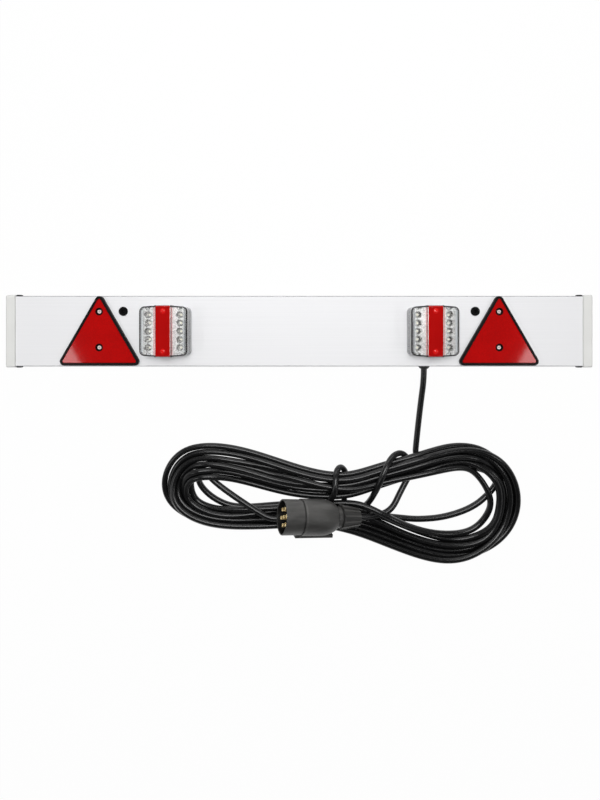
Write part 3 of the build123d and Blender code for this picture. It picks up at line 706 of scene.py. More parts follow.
@dataclass(frozen=True)
class PlugPose:
    """How the plug lies, in millimetres and degrees."""

    seam: Point = (1.8, -362.3, 81.0)  # middle of the seam between shell and body
    tilt: float = 19.0  # angle by which the open end is raised
    turn: float = 9.0  # angle by which the axis is turned up the board

    @property
    def axis(self) -> Array:
        """Direction from the cable nut to the open end."""
        tilt, turn = math.radians(self.tilt), math.radians(self.turn)
        return np.array([-math.cos(tilt) * math.cos(turn), math.cos(tilt) * math.sin(turn), math.sin(tilt)])

    @property
    def down(self) -> Array:
        """Direction from the axis to the rail."""
        turn = math.radians(self.turn)
        return np.array([-math.sin(turn), -math.cos(turn), 0.0])


@dataclass(frozen=True)
class PlugPlastic(Finish):
    """Charcoal plastic of the plug, with painted shade inside the shell, in the seam and at collar and nut, a painted
    highlight on the lip, painted light and shade on the nut's ribs, a painted lit side away from the rail, and faint
    long streaks.
    """

    pose: PlugPose = PlugPose()
    bore: float = 0.0302  # radius inside which the shell takes painted shade
    # Distance in front of the seam, half width and change of tone of the seam, lip, collar and nut rings; painted shade
    # in the seam and at collar and nut, a painted highlight on the lip
    rings: Table = (
        (0.0006, 0.0018, -0.6),
        (-0.0034, 0.0024, 0.3),
        (-0.074, 0.0026, -0.55),
        (-0.0855, 0.0026, -0.55),
    )
    nut: float = 0.0855  # distance behind the seam at which the nut starts
    ribs: int = 12
    rib_light_and_shade_tones: Pair = (1.15, 0.45)  # painted light and shade of the ribs: tones between the ribs and on them
    streaks: Pair = (1.6, 14.0)  # streaks for each radian about the axis and each metre along it
    streak_tones: Pair = (0.72, 1.3)
    lit_side_tones: Pair = (0.92, 1.5)  # painted light: tones on the side of the rail and on the lit side away from it
    inside_shade_loss: float = -0.9  # change of tone by the painted shade inside the shell

    def about_axis(self, web: Web) -> Tuple[Feed, Feed, Feed]:
        """Distance in front of the seam, distance from the axis, and angle about it from the rail.

        Args:
            web: Helper of the material's tree.

        Returns:
            The two distances and the angle.
        """
        axis, down = self.pose.axis, self.pose.down
        away = web.add("VectorMath", web.place, np.array(self.pose.seam) * MM, operation="SUBTRACT").outputs[0]
        front, low, high = (web.along(away, part) for part in (axis, down, np.cross(axis, down)))
        return front, web.reach(low, high), web.math("ARCTAN2", high, low)

    def colours(self, web: Web, base: Feed) -> Feed:
        """Charcoal with its painted shade and highlights, and its streaks.

        Args:
            web: Helper of the material's tree.
            base: Colour without marks.

        Returns:
            The marked colour.
        """
        front, far, angle = self.about_axis(web)
        about, along = (web.times(value, count) for value, count in zip((angle, front), self.streaks))
        streak = web.step(web.noise(web.join(about, along, 0.0), 1.0, 3.0), 0.32, 0.68, *self.streak_tones)
        # painted light: the side away from the rail is lighter, as if lit from there
        tone = web.times(streak, web.step(web.math("COSINE", angle), -0.1, -0.95, *self.lit_side_tones))
        # painted shade inside the shell
        inside = web.times(web.step(far, self.bore, self.bore - SOFT_EDGE), web.step(front, 0.0, 0.002))
        tone = web.times(tone, web.lift(inside, self.inside_shade_loss))
        # painted shade in the seam and at the collar and nut, and a painted highlight on the lip
        for middle, half, change in self.rings:
            tone = web.times(tone, web.lift(web.band(front, middle, half), change))
        # painted light and shade across the ribs of the nut
        ridge = web.ridge(web.lift(angle, self.ribs / (2 * math.pi), 0.5))
        ribbed = web.math("SUBTRACT", web.step(ridge, 0.25, 0.45, *self.rib_light_and_shade_tones), 1.0)
        on_nut = web.step(front, -self.nut, -self.nut - 0.002)
        return web.shade(base, web.times(tone, web.lift(on_nut, ribbed)))


@dataclass(frozen=True)
class BushRubber(Finish):
    """Black rubber with painted shade down its bores."""

    bore: float = 0.0052  # radius of a bore
    # tone of the painted shade deep in a bore
    bore_shade_tone: float = 0.25
    middle: float = 0.3663  # distance of the bushes from the middle of the board
    height: float = 0.0413  # height of the bushes on the board

    def colours(self, web: Web, base: Feed) -> Feed:
        """Rubber with painted shade in its bores."""
        far = web.reach(*web.from_places(self.middle, (self.height,)))
        return web.shade(base, web.step(far, self.bore * 0.7, self.bore, self.bore_shade_tone))


BOARD_WHITE = BoardPaint(
    "board_white_paint", "board_white", (0.9, 0.9, 0.915), 0.5, specular=0.35, variety=0.008, mottling=4.0
)
CAP_GREY = CapPlastic("cap_grey_plastic", "cap_grey", (0.82, 0.82, 0.8), 0.48, variety=0.02)
BLACK_PLASTIC = Finish(
    "black_plastic_gloss", "black_plastic", (0.008, 0.006, 0.006), 0.36, specular=0.12, variety=0.2
)
CARRIER_BLACK = Finish(
    "carrier_black_plastic", "black_plastic", (0.006, 0.006, 0.006), 0.55, specular=0.3, variety=0.2
)
BUSH_BLACK = BushRubber(
    "bush_black_rubber", "black_rubber", (0.004, 0.004, 0.004), 0.6, specular=0.08, variety=0.2
)
BLACK_RUBBER = Finish("black_rubber_soft", "black_rubber", (0.014, 0.014, 0.014), 0.6, variety=0.2)
REFLECTOR_RED = ReflectorLens(
    "reflector_red_lens", "reflector_red", (0.47, 0.0015, 0.0015), 0.4,
    coat=1.0, coat_roughness=0.065, specular=0.02, depth=0.00006,
)
STRIP_RED = StripLens(
    "strip_red_lens", "strip_red", (0.44, 0.002, 0.0015), 0.4, coat=1.0, specular=0.02, depth=0.00004
)
SCREW_STEEL = ScrewSteel("screw_bright_steel", "screw_steel", (1.0, 0.86, 0.83), 0.34, metallic=0.2)
LAMP_SCREW = Finish("lamp_screw_steel", "screw_steel", (0.7, 0.69, 0.68), 0.3, metallic=1.0)
LAMP_GREY = Finish("lamp_grey_plastic", "lamp_grey", (0.5, 0.5, 0.51), 0.5)
LENS_CLEAR = ClearLens(
    "lamp_clear_lens", "lens_clear", (0.97, 0.98, 0.98), 0.03, spread=0.02, variety=0.01, depth=0.00002
)
PRISM_CLEAR = Finish("prism_clear_bar", "lens_clear", (0.93, 0.94, 0.95), 0.1, coat=0.6, variety=0.03)
CIRCUIT_WHITE = Finish("circuit_white_mask", "circuit_white", (0.8, 0.8, 0.78), 0.42, fineness=2500.0)
CHIP_YELLOW = Finish("chip_yellow_gel", "chip_yellow", (0.88, 0.83, 0.66), 0.3, fineness=4000.0)
MIRROR_SILVER = MirrorCups(
    "mirror_silver_coat", "mirror_silver", (0.82, 0.81, 0.8), 0.3, metallic=0.3, variety=0.05
)
CABLE_BLACK = Finish(
    "cable_black_sheath", "cord_black", (0.005, 0.005, 0.0054), 0.26,
    fineness=700.0, variety=0.2, spread=0.02, depth=0.000005,
)
PLUG_GREY = PlugPlastic(
    "plug_charcoal_plastic", "plug_grey", (0.048, 0.047, 0.045), 0.45,
    fineness=1300.0, variety=0.1, spread=0.1, depth=0.00012,
)
PIN_BRASS = Finish(
    "pin_bright_brass", "pin_brass", (1.0, 0.79, 0.41), 0.17, metallic=0.6, fineness=1800.0, variety=0.08
)


def link(name: str, data: Any) -> bpy.types.Object:
    """Add an object with the given data to the scene.

    Args:
        name: Name of the object.
        data: Its mesh, curve, light or camera.

    Returns:
        The new object.
    """
    thing = bpy.data.objects.new(name, data)
    bpy.context.scene.collection.objects.link(thing)
    return thing


def mesh_of(name: str, points: Array, quads: Array) -> bpy.types.Mesh:
    """Mesh of a grid of points and its four-sided faces.

    Args:
        name: Name of the mesh.
        points: Grid of points.
        quads: Indices of each face's corners.

    Returns:
        The new mesh.
    """
    mesh = bpy.data.meshes.new(name)
    mesh.from_pydata(points.reshape(-1, 3).tolist(), [], quads.reshape(-1, 4).tolist())
    mesh.validate()
    mesh.update()
    return mesh


def dress(node: str, finish: Finish) -> None:
    """Give a node of the model a finish.

    Args:
        node: Name of the node.
        finish: Finish that it takes.
    """
    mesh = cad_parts[node].data
    mesh.materials.clear()
    mesh.materials.append(finish.make())
    log.info("%s: %s", node, finish.name)


def add_piece(name: str, data: Any, finish: Finish) -> bpy.types.Object:
    """Add a new piece that rides on the board.

    Args:
        name: Name of the piece.
        data: Its mesh or curve, with its place in its points.
        finish: Finish that it takes.

    Returns:
        The new object.
    """
    data.materials.append(finish.make())
    piece = link(name, data)
    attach(piece, BODY)
    log.info("%s: %s", name, finish.name)
    return piece


Dressing = Tuple[Tuple[str, Finish], ...]


@dataclass
class SubAssembly:
    """Nodes of the model that belong together."""

    finishes: Dressing  # finish of each node, by its name without the side
    side: Optional[Side] = None  # end of the board that it belongs to, if it is at one

    def build(self) -> None:
        """Dress the nodes."""
        for stem, finish in self.finishes:
            dress(f"{stem}_{self.side.word}" if self.side else stem, finish)


@dataclass
class Board(SubAssembly):
    """Profile, edge clips, fixing bushes, gland, leads, and the small pieces of both ends."""

    finishes: Dressing = (
        ("board_profile", BOARD_WHITE),
        ("edge_clips", BLACK_PLASTIC),
        ("fixing_bushes", BUSH_BLACK),
        ("cable_gland", BLACK_RUBBER),
        ("supply_lead", CABLE_BLACK),
        ("link_lead", CABLE_BLACK),
        ("reflector_screws", SCREW_STEEL),
        ("lamp_screws", LAMP_SCREW),
        ("lamp_light_chips", CHIP_YELLOW),
    )


@dataclass
class BoardEnd(SubAssembly):
    """End cap and triangular reflector of one end."""

    finishes: Dressing = (
        ("end_cap", CAP_GREY),
        ("reflector_backing", BLACK_PLASTIC),
        ("reflector_lens", REFLECTOR_RED),
    )


@dataclass
class Lamp(SubAssembly):
    """One lamp, with the bars of small prisms under its clear lens."""

    finishes: Dressing = (
        ("lamp_base", LAMP_GREY),
        ("lamp_seal", BLACK_RUBBER),
        ("lamp_circuit_board", CIRCUIT_WHITE),
        ("lamp_mirror", MIRROR_SILVER),
        ("lamp_lens", LENS_CLEAR),
        ("lamp_strip", STRIP_RED),
    )
    ceiling: float = 0.0596  # height of the lens's inner face
    bar_offset: float = 0.0425  # distance of a prism bar from the lamp's middle
    bar_width: float = 0.0046
    bar_length: float = 0.084
    prism_pitch: float = 0.0035  # distance between ridges
    prism_depth: float = 0.002  # height of the ridges
    bar_base: float = 0.0006  # thickness of a bar behind its ridges

    def bar(self) -> Tuple[Array, Array]:
        """One bar of ridges about the origin.

        A bar is a box profile carried along Y. Its lower face follows a triangle wave: the depth at a place is the
        base plus the ridge height times the distance to the nearest valley over half a pitch. The first and last ring
        are drawn together at the middle of the profile, which closes the ends.

        Returns:
            Its points and its faces.
        """
        ridges = int(round(self.bar_length / self.prism_pitch))
        along = np.linspace(-0.5, 0.5, 2 * ridges + 1) * self.bar_length
        deep = self.bar_base + self.prism_depth * (np.arange(len(along)) % 2)
        along, deep = (np.concatenate([row[:1], row, row[-1:]]) for row in (along, deep))
        spread = np.ones((len(along), 1))
        spread[[0, -1]] = 0.0
        x = np.array([-0.5, 0.5, 0.5, -0.5]) * self.bar_width * spread
        y = np.repeat(along[:, None], 4, axis=1)
        z = -deep[:, None] * (0.5 + np.array([-0.5, -0.5, 0.5, 0.5]) * spread)
        ring = np.arange(len(along) - 1)[:, None] * 4
        turn = np.arange(4)
        after = (turn + 1) % 4
        quads = np.stack([ring + turn, ring + 4 + turn, ring + 4 + after, ring + after], axis=-1)
        return np.stack([x, y, z], axis=-1).reshape(-1, 3), quads.reshape(-1, 4)

    def build(self) -> None:
        """Dress the nodes and add the prism bars."""
        super().build()
        name = f"lamp_prism_bars_{self.side.word}"
        points, quads = self.bar()
        middle = self.side.value * LAMP_MIDDLE
        places = [np.array([middle + sign * self.bar_offset, 0.0, self.ceiling]) for sign in (-1, 1)]
        both = np.concatenate([points + place for place in places])
        add_piece(name, mesh_of(name, both, np.concatenate([quads, quads + len(points)])), PRISM_CLEAR)


@dataclass
class Plug(SubAssembly):
    """Round pin plug on the end of the cable, in millimetres."""

    finishes: Dressing = (
        ("plug_shell", PLUG_GREY),
        ("plug_body", PLUG_GREY),
        ("plug_cable_nut", PLUG_GREY),
        ("plug_contact_carrier", CARRIER_BLACK),
        ("plug_contact_pins", PIN_BRASS),
        ("plug_cord_grip", BLACK_RUBBER),
    )
    pose: PlugPose = PlugPose()
    # Capsules that the plug fills, each as distances of its two ends along the axis and a radius
    room: Table = (
        (38.0, -50.0, 34.0),
        (-50.0, -74.0, 27.0),
        (-85.0, -95.0, 24.0),
        (-95.0, -126.0, 19.0),
    )
    entry: Pair = (-148.65, -100.65)  # distances along the axis of the cable's last two points

    def on_axis(self, distance: float) -> Array:
        """Point on the plug's axis at a distance in front of the seam."""
        return np.array(self.pose.seam) + distance * self.pose.axis

    def capsules(self) -> List[Tuple[Array, Array, float]]:
        """Ends and radius of each capsule that the plug fills."""
        return [(self.on_axis(a), self.on_axis(b), radius) for a, b, radius in self.room]


@dataclass(frozen=True)
class Settling:
    """How the cable settles, in millimetres."""

    rounds: int = 520
    search: int = 6  # rounds between two searches for places that may touch
    margin: float = 5.0  # distance beyond the diameter within which places may touch
    apart: float = 45.0  # length of cable between two places that may touch
    bending: float = 0.25  # share of the way to the smooth line of the neighbours that a round takes
    push: float = 0.9  # share of a push between strands that a round takes
    plug_push: float = 0.6  # share of a push out of the plug that a round takes
    directions: Point = (0.35, 0.35, 1.0)  # share of a push between strands along X, Y and Z
    # Share of a push that a place on the floor, or one that keeps its height, leaves to the other
    firmness: float = 0.9

    @staticmethod
    def sink(share: float) -> float:
        """Distance by which free points sink in a round, less towards the end."""
        return 0.2 if share < 0.6 else 0.1 if share < 0.8 else 0.02

    @staticmethod
    def hold(share: float) -> float:
        """Share of the way back to its lane that a point takes in a round, less towards the end."""
        return 0.08 if share < 0.7 else 0.02


@dataclass
class WoundCable:
    """Cable from the gland through its hank to the plug, in millimetres.

    The bundle of the hank lies between an outer and an inner edge, given at stations in the direction of travel. A turn
    keeps to a lane between them, which changes a little from place to place. Given stretches lead in, cut
    across both loops, wrap the middle twice and lead out. The whole line is then settled under its own weight.
    """

    plug: Plug
    diameter: float = 12.5
    exit: Point = (263.3, -78.9, 14.1)  # where it leaves the gland
    # Outer edge of the bundle
    outer: Edge = (
        (322.3, -240.5), (385.6, -242.2), (429.9, -271.8), (459.4, -316.1), (466.8, -373.0), (442.5, -425.8),
        (398.2, -460.6), (339.2, -483.8), (275.9, -479.6), (212.6, -459.5), (153.5, -437.4), (102.9, -419.4),
        (43.8, -415.2), (-30.1, -415.2), (-103.9, -421.6), (-177.8, -418.4), (-228.4, -399.2), (-279.0, -369.9),
        (-296.3, -315.0), (-261.1, -253.8), (-209.4, -240.7), (-146.1, -240.7), (-72.3, -260.1), (1.6, -284.4),
        (81.8, -296.0), (138.7, -284.4), (195.7, -269.2), (254.8, -253.4),
    )
    # Inner edge of the bundle
    inner: Edge = (
        (297.0, -292.9), (339.2, -287.2), (366.6, -301.3), (389.8, -328.7), (398.2, -362.5), (391.9, -392.0),
        (370.8, -417.3), (332.8, -426.8), (290.6, -422.6), (235.8, -402.6), (174.6, -374.1), (111.3, -362.5),
        (43.8, -358.3), (-30.1, -360.4), (-103.9, -366.7), (-163.0, -366.7), (-196.7, -362.5), (-214.7, -351.9),
        (-221.0, -331.9), (-211.5, -316.1), (-190.4, -309.7), (-150.3, -315.0), (-87.0, -330.8), (-6.9, -351.9),
        (81.8, -350.9), (128.2, -346.7), (174.6, -332.9), (242.1, -309.3),
    )
    # Stations at which the lanes are given
    keys: Tuple[float, ...] = (0.5, 2.9, 4.1, 5.4, 8.0, 9.4, 10.6, 13.5, 15.0, 16.3, 17.3, 18.3, 19.6, 21.2, 22.7, 24.5)
    # Lane of each turn at those stations; 0 is the outer edge and 1 the inner one
    lanes: Table = (
        (1.00, 1.00, 1.00, 1.00, 1.00, 0.95, 0.70, 0.20, 0.00, 0.00, 0.00, 0.00, 0.00, 0.00, 0.00, 0.08),
        (0.00, 0.11, 0.16, 0.16, 0.30, 0.28, 0.22, 0.12, 0.13, 0.16, 0.22, 0.22, 0.21, 0.22, 0.17, 0.22),
        (0.15, 0.00, 0.00, 0.00, 0.15, 0.14, 0.10, 0.24, 0.25, 0.29, 0.34, 0.38, 0.41, 0.42, 0.33, 0.34),
        (0.30, 0.25, 0.31, 0.28, 0.00, 0.00, 0.00, 0.40, 0.41, 0.44, 0.49, 0.54, 0.60, 0.61, 0.44, 0.50),
        (0.46, 0.38, 0.46, 0.42, 0.46, 0.42, 0.56, 0.57, 0.60, 0.61, 0.64, 0.69, 0.79, 0.82, 0.85, 0.74),
        (0.62, 0.50, 0.62, 0.55, 0.62, 0.54, 0.68, 0.72, 0.74, 0.75, 0.78, 0.84, 0.95, 1.00, 1.00, 0.95),
        (0.80, 0.62, 0.82, 0.67, 0.82, 0.86, 0.84, 1.00, 1.00, 1.00, 1.00, 0.90, 0.50, 0.50, 0.42, 0.64),
        (1.00, 1.06, 1.02, 1.06, 1.00, 1.00, 1.00, 0.90, 0.89, 0.92, 0.92, 0.92, 0.92, 1.00, 1.00, 1.00),
    )
    step: float = 0.4  # stations between two points of a turn
    # Route from the gland to the hank
    drop: Path = (
        (263.3, -71.15, 14.1), (263.3, -100.9, 14.1), (258.6, -147.0, 9.0), (253.5, -197.8, 6.3), (249.0, -240.0, 6.3),
        (247.3, -259.6, 6.3), (254.1, -279.8, 6.3), (272.2, -290.4, 6.3),
    )
    # Strand across the right loop
    loose_right: Path = (
        (424.0, -318.0, 6.3), (406.0, -345.0, 6.3), (369.0, -376.0, 6.3), (311.0, -396.0, 6.3), (254.0, -401.0, 6.3),
        (212.0, -397.0, 6.3),
    )
    # Strand of the last turn but one that turns back under the left loop
    fold: Path = (
        (-104.9, -373.8, 20.0), (-127.3, -373.8, 14.0), (-149.7, -370.4, 8.0), (-169.9, -362.3, 6.3),
        (-187.6, -351.2, 6.3), (-201.9, -338.4, 6.3), (-212.6, -323.9, 6.3), (-215.8, -308.1, 6.3),
        (-210.6, -292.4, 6.3), (-198.3, -283.0, 6.3), (-181.7, -278.7, 6.3), (-158.2, -280.0, 6.3),
        (-134.8, -284.3, 6.3), (-109.2, -289.8, 6.3), (-83.6, -295.8, 6.3), (-60.2, -302.2, 6.3),
    )
    # End of the last turn, which turns back above it
    last_fold: Path = (
        (-229.9, -326.0, 20.0), (-227.8, -307.9, 20.0), (-215.2, -293.2, 19.0), (-196.1, -295.6, 18.0),
    )
    # Strand across the left loop
    loose_left: Path = (
        (-179.0, -315.0, 16.0), (-137.0, -343.0, 14.0), (-84.0, -375.0, 50.0), (-54.0, -390.0, 52.0),
    )
    # Two wraps about the middle
    wraps: Path = (
        (-14.9, -378.4, 46.0), (20.4, -372.3, 34.0), (50.1, -366.3, 24.0), (68.2, -341.8, 40.0),
        (72.8, -325.7, 72.0), (75.0, -305.0, 75.0), (77.2, -289.9, 66.0), (88.0, -284.9, 26.0), (99.3, -299.1, 7.0),
        (99.6, -317.1, 6.3), (96.4, -336.3, 6.3), (94.3, -353.3, 6.3), (98.6, -368.2, 6.3), (112.4, -377.8, 6.3),
        (130.5, -376.8, 6.3), (143.3, -368.2, 6.3), (150.5, -353.4, 20.0), (156.1, -335.8, 50.0),
        (162.3, -318.9, 70.0), (170.0, -299.2, 80.0), (179.3, -280.6, 80.0), (190.2, -267.1, 80.0),
        (202.8, -259.2, 60.0), (217.1, -258.2, 34.0), (228.4, -266.6, 12.0), (234.9, -280.9, 6.3),
    )
    firm: Tuple[int, ...] = (3, 8, 9, 10)  # points of the wraps that keep their height
    # Route back from the hank to the plug
    tail: Path = ((240.0, -297.0, 6.3), (215.0, -336.0, 14.0), (190.0, -377.0, 27.2))
    # Stretch that stays low, as stations and lengths of its rise and its fall
    under_plug: Tuple[float, ...] = (9.5, 1.5, 15.0, 1.5)
    # Stretches that start clear of the wraps, given in the same way
    over_wraps: Table = ((23.3, 0.6, 25.0, 0.6), (25.8, 0.5, 27.2, 0.7))
    settling: Settling = Settling()

    @property
    def floor(self) -> float:
        """Height of the cable's middle where it lies on the floor."""
        return self.diameter / 2 + 0.05

    @staticmethod
    def edge_at(edge: Edge, station: Array) -> Array:
        """Points on a smooth closed curve through the stations of an edge.

        The curve between two stations is the cubic whose slope at each station is half the step between its neighbours.

        Args:
            edge: Points of the edge at the stations.
            station: Places along the edge, counted in stations.

        Returns:
            One point for each place.
        """
        points = np.array(edge)
        index = np.floor(station).astype(int)
        t = (station - index)[:, None]
        a, b, c, d = (points[(index + shift) % len(points)] for shift in (-1, 0, 1, 2))
        return b + 0.5 * t * (c - a + t * (2 * a - 5 * b + 4 * c - d + t * (3 * (b - c) + d - a)))

    def lane_points(self, station: Array, lane: Array) -> Array:
        """Points in the bundle.

        Args:
            station: Places along the bundle, counted in stations.
            lane: Share of the way from the outer edge to the inner one, both inset by half a diameter.

        Returns:
            One point for each place.
        """
        outer, inner = self.edge_at(self.outer, station), self.edge_at(self.inner, station)
        inset = np.minimum(0.5, 0.5 * self.diameter / np.linalg.norm(inner - outer, axis=1))
        share = inset + (1 - 2 * inset) * lane
        return outer + (inner - outer) * share[:, None]

    @staticmethod
    def ease(share: Array) -> Array:
        """Smooth change from 0 to 1."""
        share = np.clip(share, 0, 1)
        return share * share * (3 - 2 * share)

    def hump(self, station: Array, rise: float, rise_length: float, fall: float, fall_length: float) -> Array:
        """1 between a rise and a fall, each given by its station and its length, and 0 elsewhere."""
        return self.ease((station - rise) / rise_length) * (1 - self.ease((station - fall) / fall_length))

    def lane(self, number: int, station: Array) -> Array:
        """Lane of a turn, eased between the stations at which it is given.

        Args:
            number: Number of the turn.
            station: Places along the bundle, counted in stations.

        Returns:
            One lane for each place.
        """
        before_first, after_last = -3.5, 0.5
        following = self.lanes[min(number + 1, len(self.lanes) - 1)]
        keys = np.array([before_first, *self.keys, len(self.outer) + after_last])
        lanes = np.array([self.lanes[number][0], *self.lanes[number], following[0]])
        before = np.clip(np.searchsorted(keys, station, side="right") - 1, 0, len(keys) - 2)
        share = self.ease((station - keys[before]) / (keys[before + 1] - keys[before]))
        return lanes[before] + (lanes[before + 1] - lanes[before]) * share

    def start_height(self, number: int, station: Array) -> Array:
        """Height from which a turn sinks: later turns start higher, but low under the plug and clear of the wraps.

        Args:
            number: Number of the turn.
            station: Places along the bundle, counted in stations.

        Returns:
            One height for each place.
        """
        first, rise, saved, clear = 19.0, 4.0, 2.2, 27.0
        low = self.hump(station, *self.under_plug)
        lifted = sum(self.hump(station, *stretch) for stretch in self.over_wraps)
        return np.maximum(first + (rise - saved * low) * number, clear * lifted)

    def turns(self) -> List[Tuple[Array, bool]]:
        """Stretches of all turns in order, each with whether its place is kept.

        Returns:
            The stretches. Three turns are cut at two stations, with a given strand between these.
        """
        entry, sink_from, sink_over = 0.35, 15.2, 2.0
        last = len(self.lanes) - 1
        cuts = {
            0: (2.4, self.loose_right, 10.4),
            last - 1: (13.7, self.fold, 22.3),
            last: (17.5, self.last_fold, math.inf),
        }
        stretches: List[Tuple[Array, bool]] = []
        for number in range(last + 1):
            station = np.arange(0.0, len(self.outer), self.step) + (0.0 if number else entry)
            flat = self.lane_points(station, self.lane(number, station))
            points = np.column_stack([flat, self.start_height(number, station)])
            if number == last:
                sunk = self.ease((station - sink_from) / sink_over)
                points[:, 2] += (self.last_fold[0][2] - points[:, 2]) * sunk
            leave, strand, back = cuts.get(number, (math.inf, (), math.inf))
            stretches.append((points[station < leave], False))
            stretches.append((np.array(strand).reshape(-1, 3), True))
            stretches.append((points[station > back], False))
        return stretches

    def route(self) -> Tuple[Array, Array, Array]:
        """Control points before settling.

        Returns:
            The points, a mask of those free to move sideways, and a mask of those free to move up and down.
        """
        ending = [*self.tail, *(self.plug.on_axis(distance) for distance in self.plug.entry)]
        stretches = [(np.array(self.drop), True), *self.turns()]
        stretches += [(np.array(part), True) for part in (self.loose_left, self.wraps, ending)]
        points = np.concatenate([part for part, _ in stretches])
        sideways = np.concatenate([np.full(len(part), not kept) for part, kept in stretches])
        upright = np.ones(len(points), bool)
        upright[: len(self.drop) - 1] = False
        upright[-len(ending) :] = False
        upright[np.array(self.firm) - len(self.wraps) - len(ending)] = False
        return points, sideways, upright

    @staticmethod
    def spline_rows(count: int, each: int) -> Array:
        """Weights of the control points at even places on the open quadratic spline.

        Args:
            count: Number of control points.
            each: Places for each span.

        Returns:
            One row of weights for each place.
        """
        knots = np.concatenate([[0, 0], np.arange(count - 1), [count - 2, count - 2]]).astype(float)
        t = np.linspace(0, count - 2, (count - 2) * each + 1)
        t[-1] -= 1e-9
        span = np.floor(t).astype(int)
        k = [knots[span + shift] for shift in (1, 2, 3, 4)]
        first = (k[2] - t) / (k[2] - k[0])
        second = (t - k[1]) / (k[3] - k[1])
        weights = [(k[2] - t) * first, (t - k[0]) * first + (k[3] - t) * second, (t - k[1]) * second]
        rows = np.zeros((len(t), count))
        for shift, weight in enumerate(weights):
            rows[np.arange(len(t)), span + shift] = weight
        return rows

    def touching(self, line: Array) -> Tuple[Array, Array]:
        """Pairs of places on the line that are near each other but far apart along it.

        Args:
            line: Places along the cable.

        Returns:
            The first and the second index of each pair.
        """
        neighbours = 6
        square = (line * line).sum(1)
        apart = square[:, None] + square[None, :] - 2 * line @ line.T
        near = apart < (self.diameter + self.settling.margin) ** 2
        first, second = np.nonzero(np.triu(near, neighbours))
        run = np.concatenate([[0], np.cumsum(np.linalg.norm(np.diff(line, axis=0), axis=1))])
        far = run[second] - run[first] > self.settling.apart
        return first[far], second[far]

    def push_apart(
        self, line: Array, pairs: Tuple[Array, Array], kept: Array
    ) -> Tuple[Array, Array]:
        """Moves that take places out of each other and out of the plug.

        Args:
            line: Places along the cable.
            pairs: Pairs that may touch.
            kept: 1 where a place keeps its height.

        Returns:
            The move of each place, and 1 where a place touches something.
        """
        near_floor, in_plug = 0.6, 12
        first, second = pairs
        gap = line[first] - line[second]
        length = np.linalg.norm(gap, axis=1)
        hit = length < self.diameter
        first, second, gap, length = first[hit], second[hit], gap[hit], length[hit]
        give = 1.0 - self.settling.firmness * np.maximum(kept, line[:, 2] < self.floor + near_floor)
        part = (give[first] / (give[first] + give[second]))[:, None]
        away = ((self.diameter - length) / np.maximum(length, 1e-6))[:, None] * gap * self.settling.directions
        move, count = np.zeros_like(line), np.zeros(len(line))
        for index, push in ((first, part * away), (second, (part - 1.0) * away)):
            np.add.at(move, index, push)
            np.add.at(count, index, 1)
        move /= np.sqrt(np.maximum(count, 1))[:, None]
        free = np.arange(len(line)) < len(line) - in_plug
        for start, end, radius in self.plug.capsules():
            along = np.clip((line - start) @ (end - start) / ((end - start) @ (end - start)), 0, 1)
            off = line - start - along[:, None] * (end - start)
            far = np.linalg.norm(off, axis=1)
            inside = free & (far < radius + self.diameter / 2)
            deep = (radius + self.diameter / 2 - far[inside]) / far[inside]
            move[inside] += self.settling.plug_push * deep[:, None] * off[inside]
            count[inside] += 1
        return move, (count > 0).astype(float)

    def settle(self) -> Array:
        """Let the cable sink until its strands lie on the floor and on each other.

        In each round the free points sink a little, are drawn back towards their lanes and towards the smooth line of
        their neighbours, and are then moved by the touching places of the spline.

        Returns:
            The settled control points.
        """
        rule = self.settling
        least_touch, places, digits = 0.7, 3, 5
        points, sideways, upright = self.route()
        lanes = points.copy()
        rows = self.spline_rows(len(points), places)
        kept = rows @ (~upright).astype(float)
        for number in range(rule.rounds):
            share = number / rule.rounds
            points[upright, 2] -= rule.sink(share)
            points[sideways, :2] += rule.hold(share) * (lanes[sideways, :2] - points[sideways, :2])
            bend = np.zeros_like(points)
            bend[2:-2] = (4 * (points[1:-3] + points[3:-1]) - points[:-4] - points[4:]) / 6 - points[2:-2]
            points[sideways, :2] += rule.bending * bend[sideways, :2]
            points[upright, 2] += rule.bending * bend[upright, 2]
            line = rows @ points
            if number % rule.search == 0:
                pairs = self.touching(line)
            move, touched = self.push_apart(line, pairs, kept)
            change = rule.push * (rows.T @ move) / np.maximum(rows.T @ touched, least_touch)[:, None]
            points[sideways, :2] += change[sideways, :2]
            points[upright, 2] += change[upright, 2]
            points[:, 2] = np.maximum(points[:, 2], self.floor)
            points = np.round(points, digits)
        return points

    def build(self) -> bpy.types.Object:
        """Returns:
            The curve object.
        """
        fineness = 6
        points = self.settle()
        line = self.spline_rows(len(points), fineness) @ points
        curve = bpy.data.curves.new("wound_cable", "CURVE")
        curve.dimensions = "3D"
        spline = curve.splines.new("NURBS")
        spline.points.add(len(points) - 1)
        spline.points.foreach_set("co", np.column_stack([points * MM, np.ones(len(points))]).ravel())
        spline.order_u = 3
        spline.use_endpoint_u = True
        spline.resolution_u = fineness
        curve.bevel_depth = self.diameter / 2 * MM
        curve.bevel_resolution = fineness
        curve.use_fill_caps = True
        cable = add_piece("wound_cable", curve, CABLE_BLACK)
        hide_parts("cord_drop", "cord_hank", "cord_loose_right", "cord_loose_left", "cord_tail")
        return cable


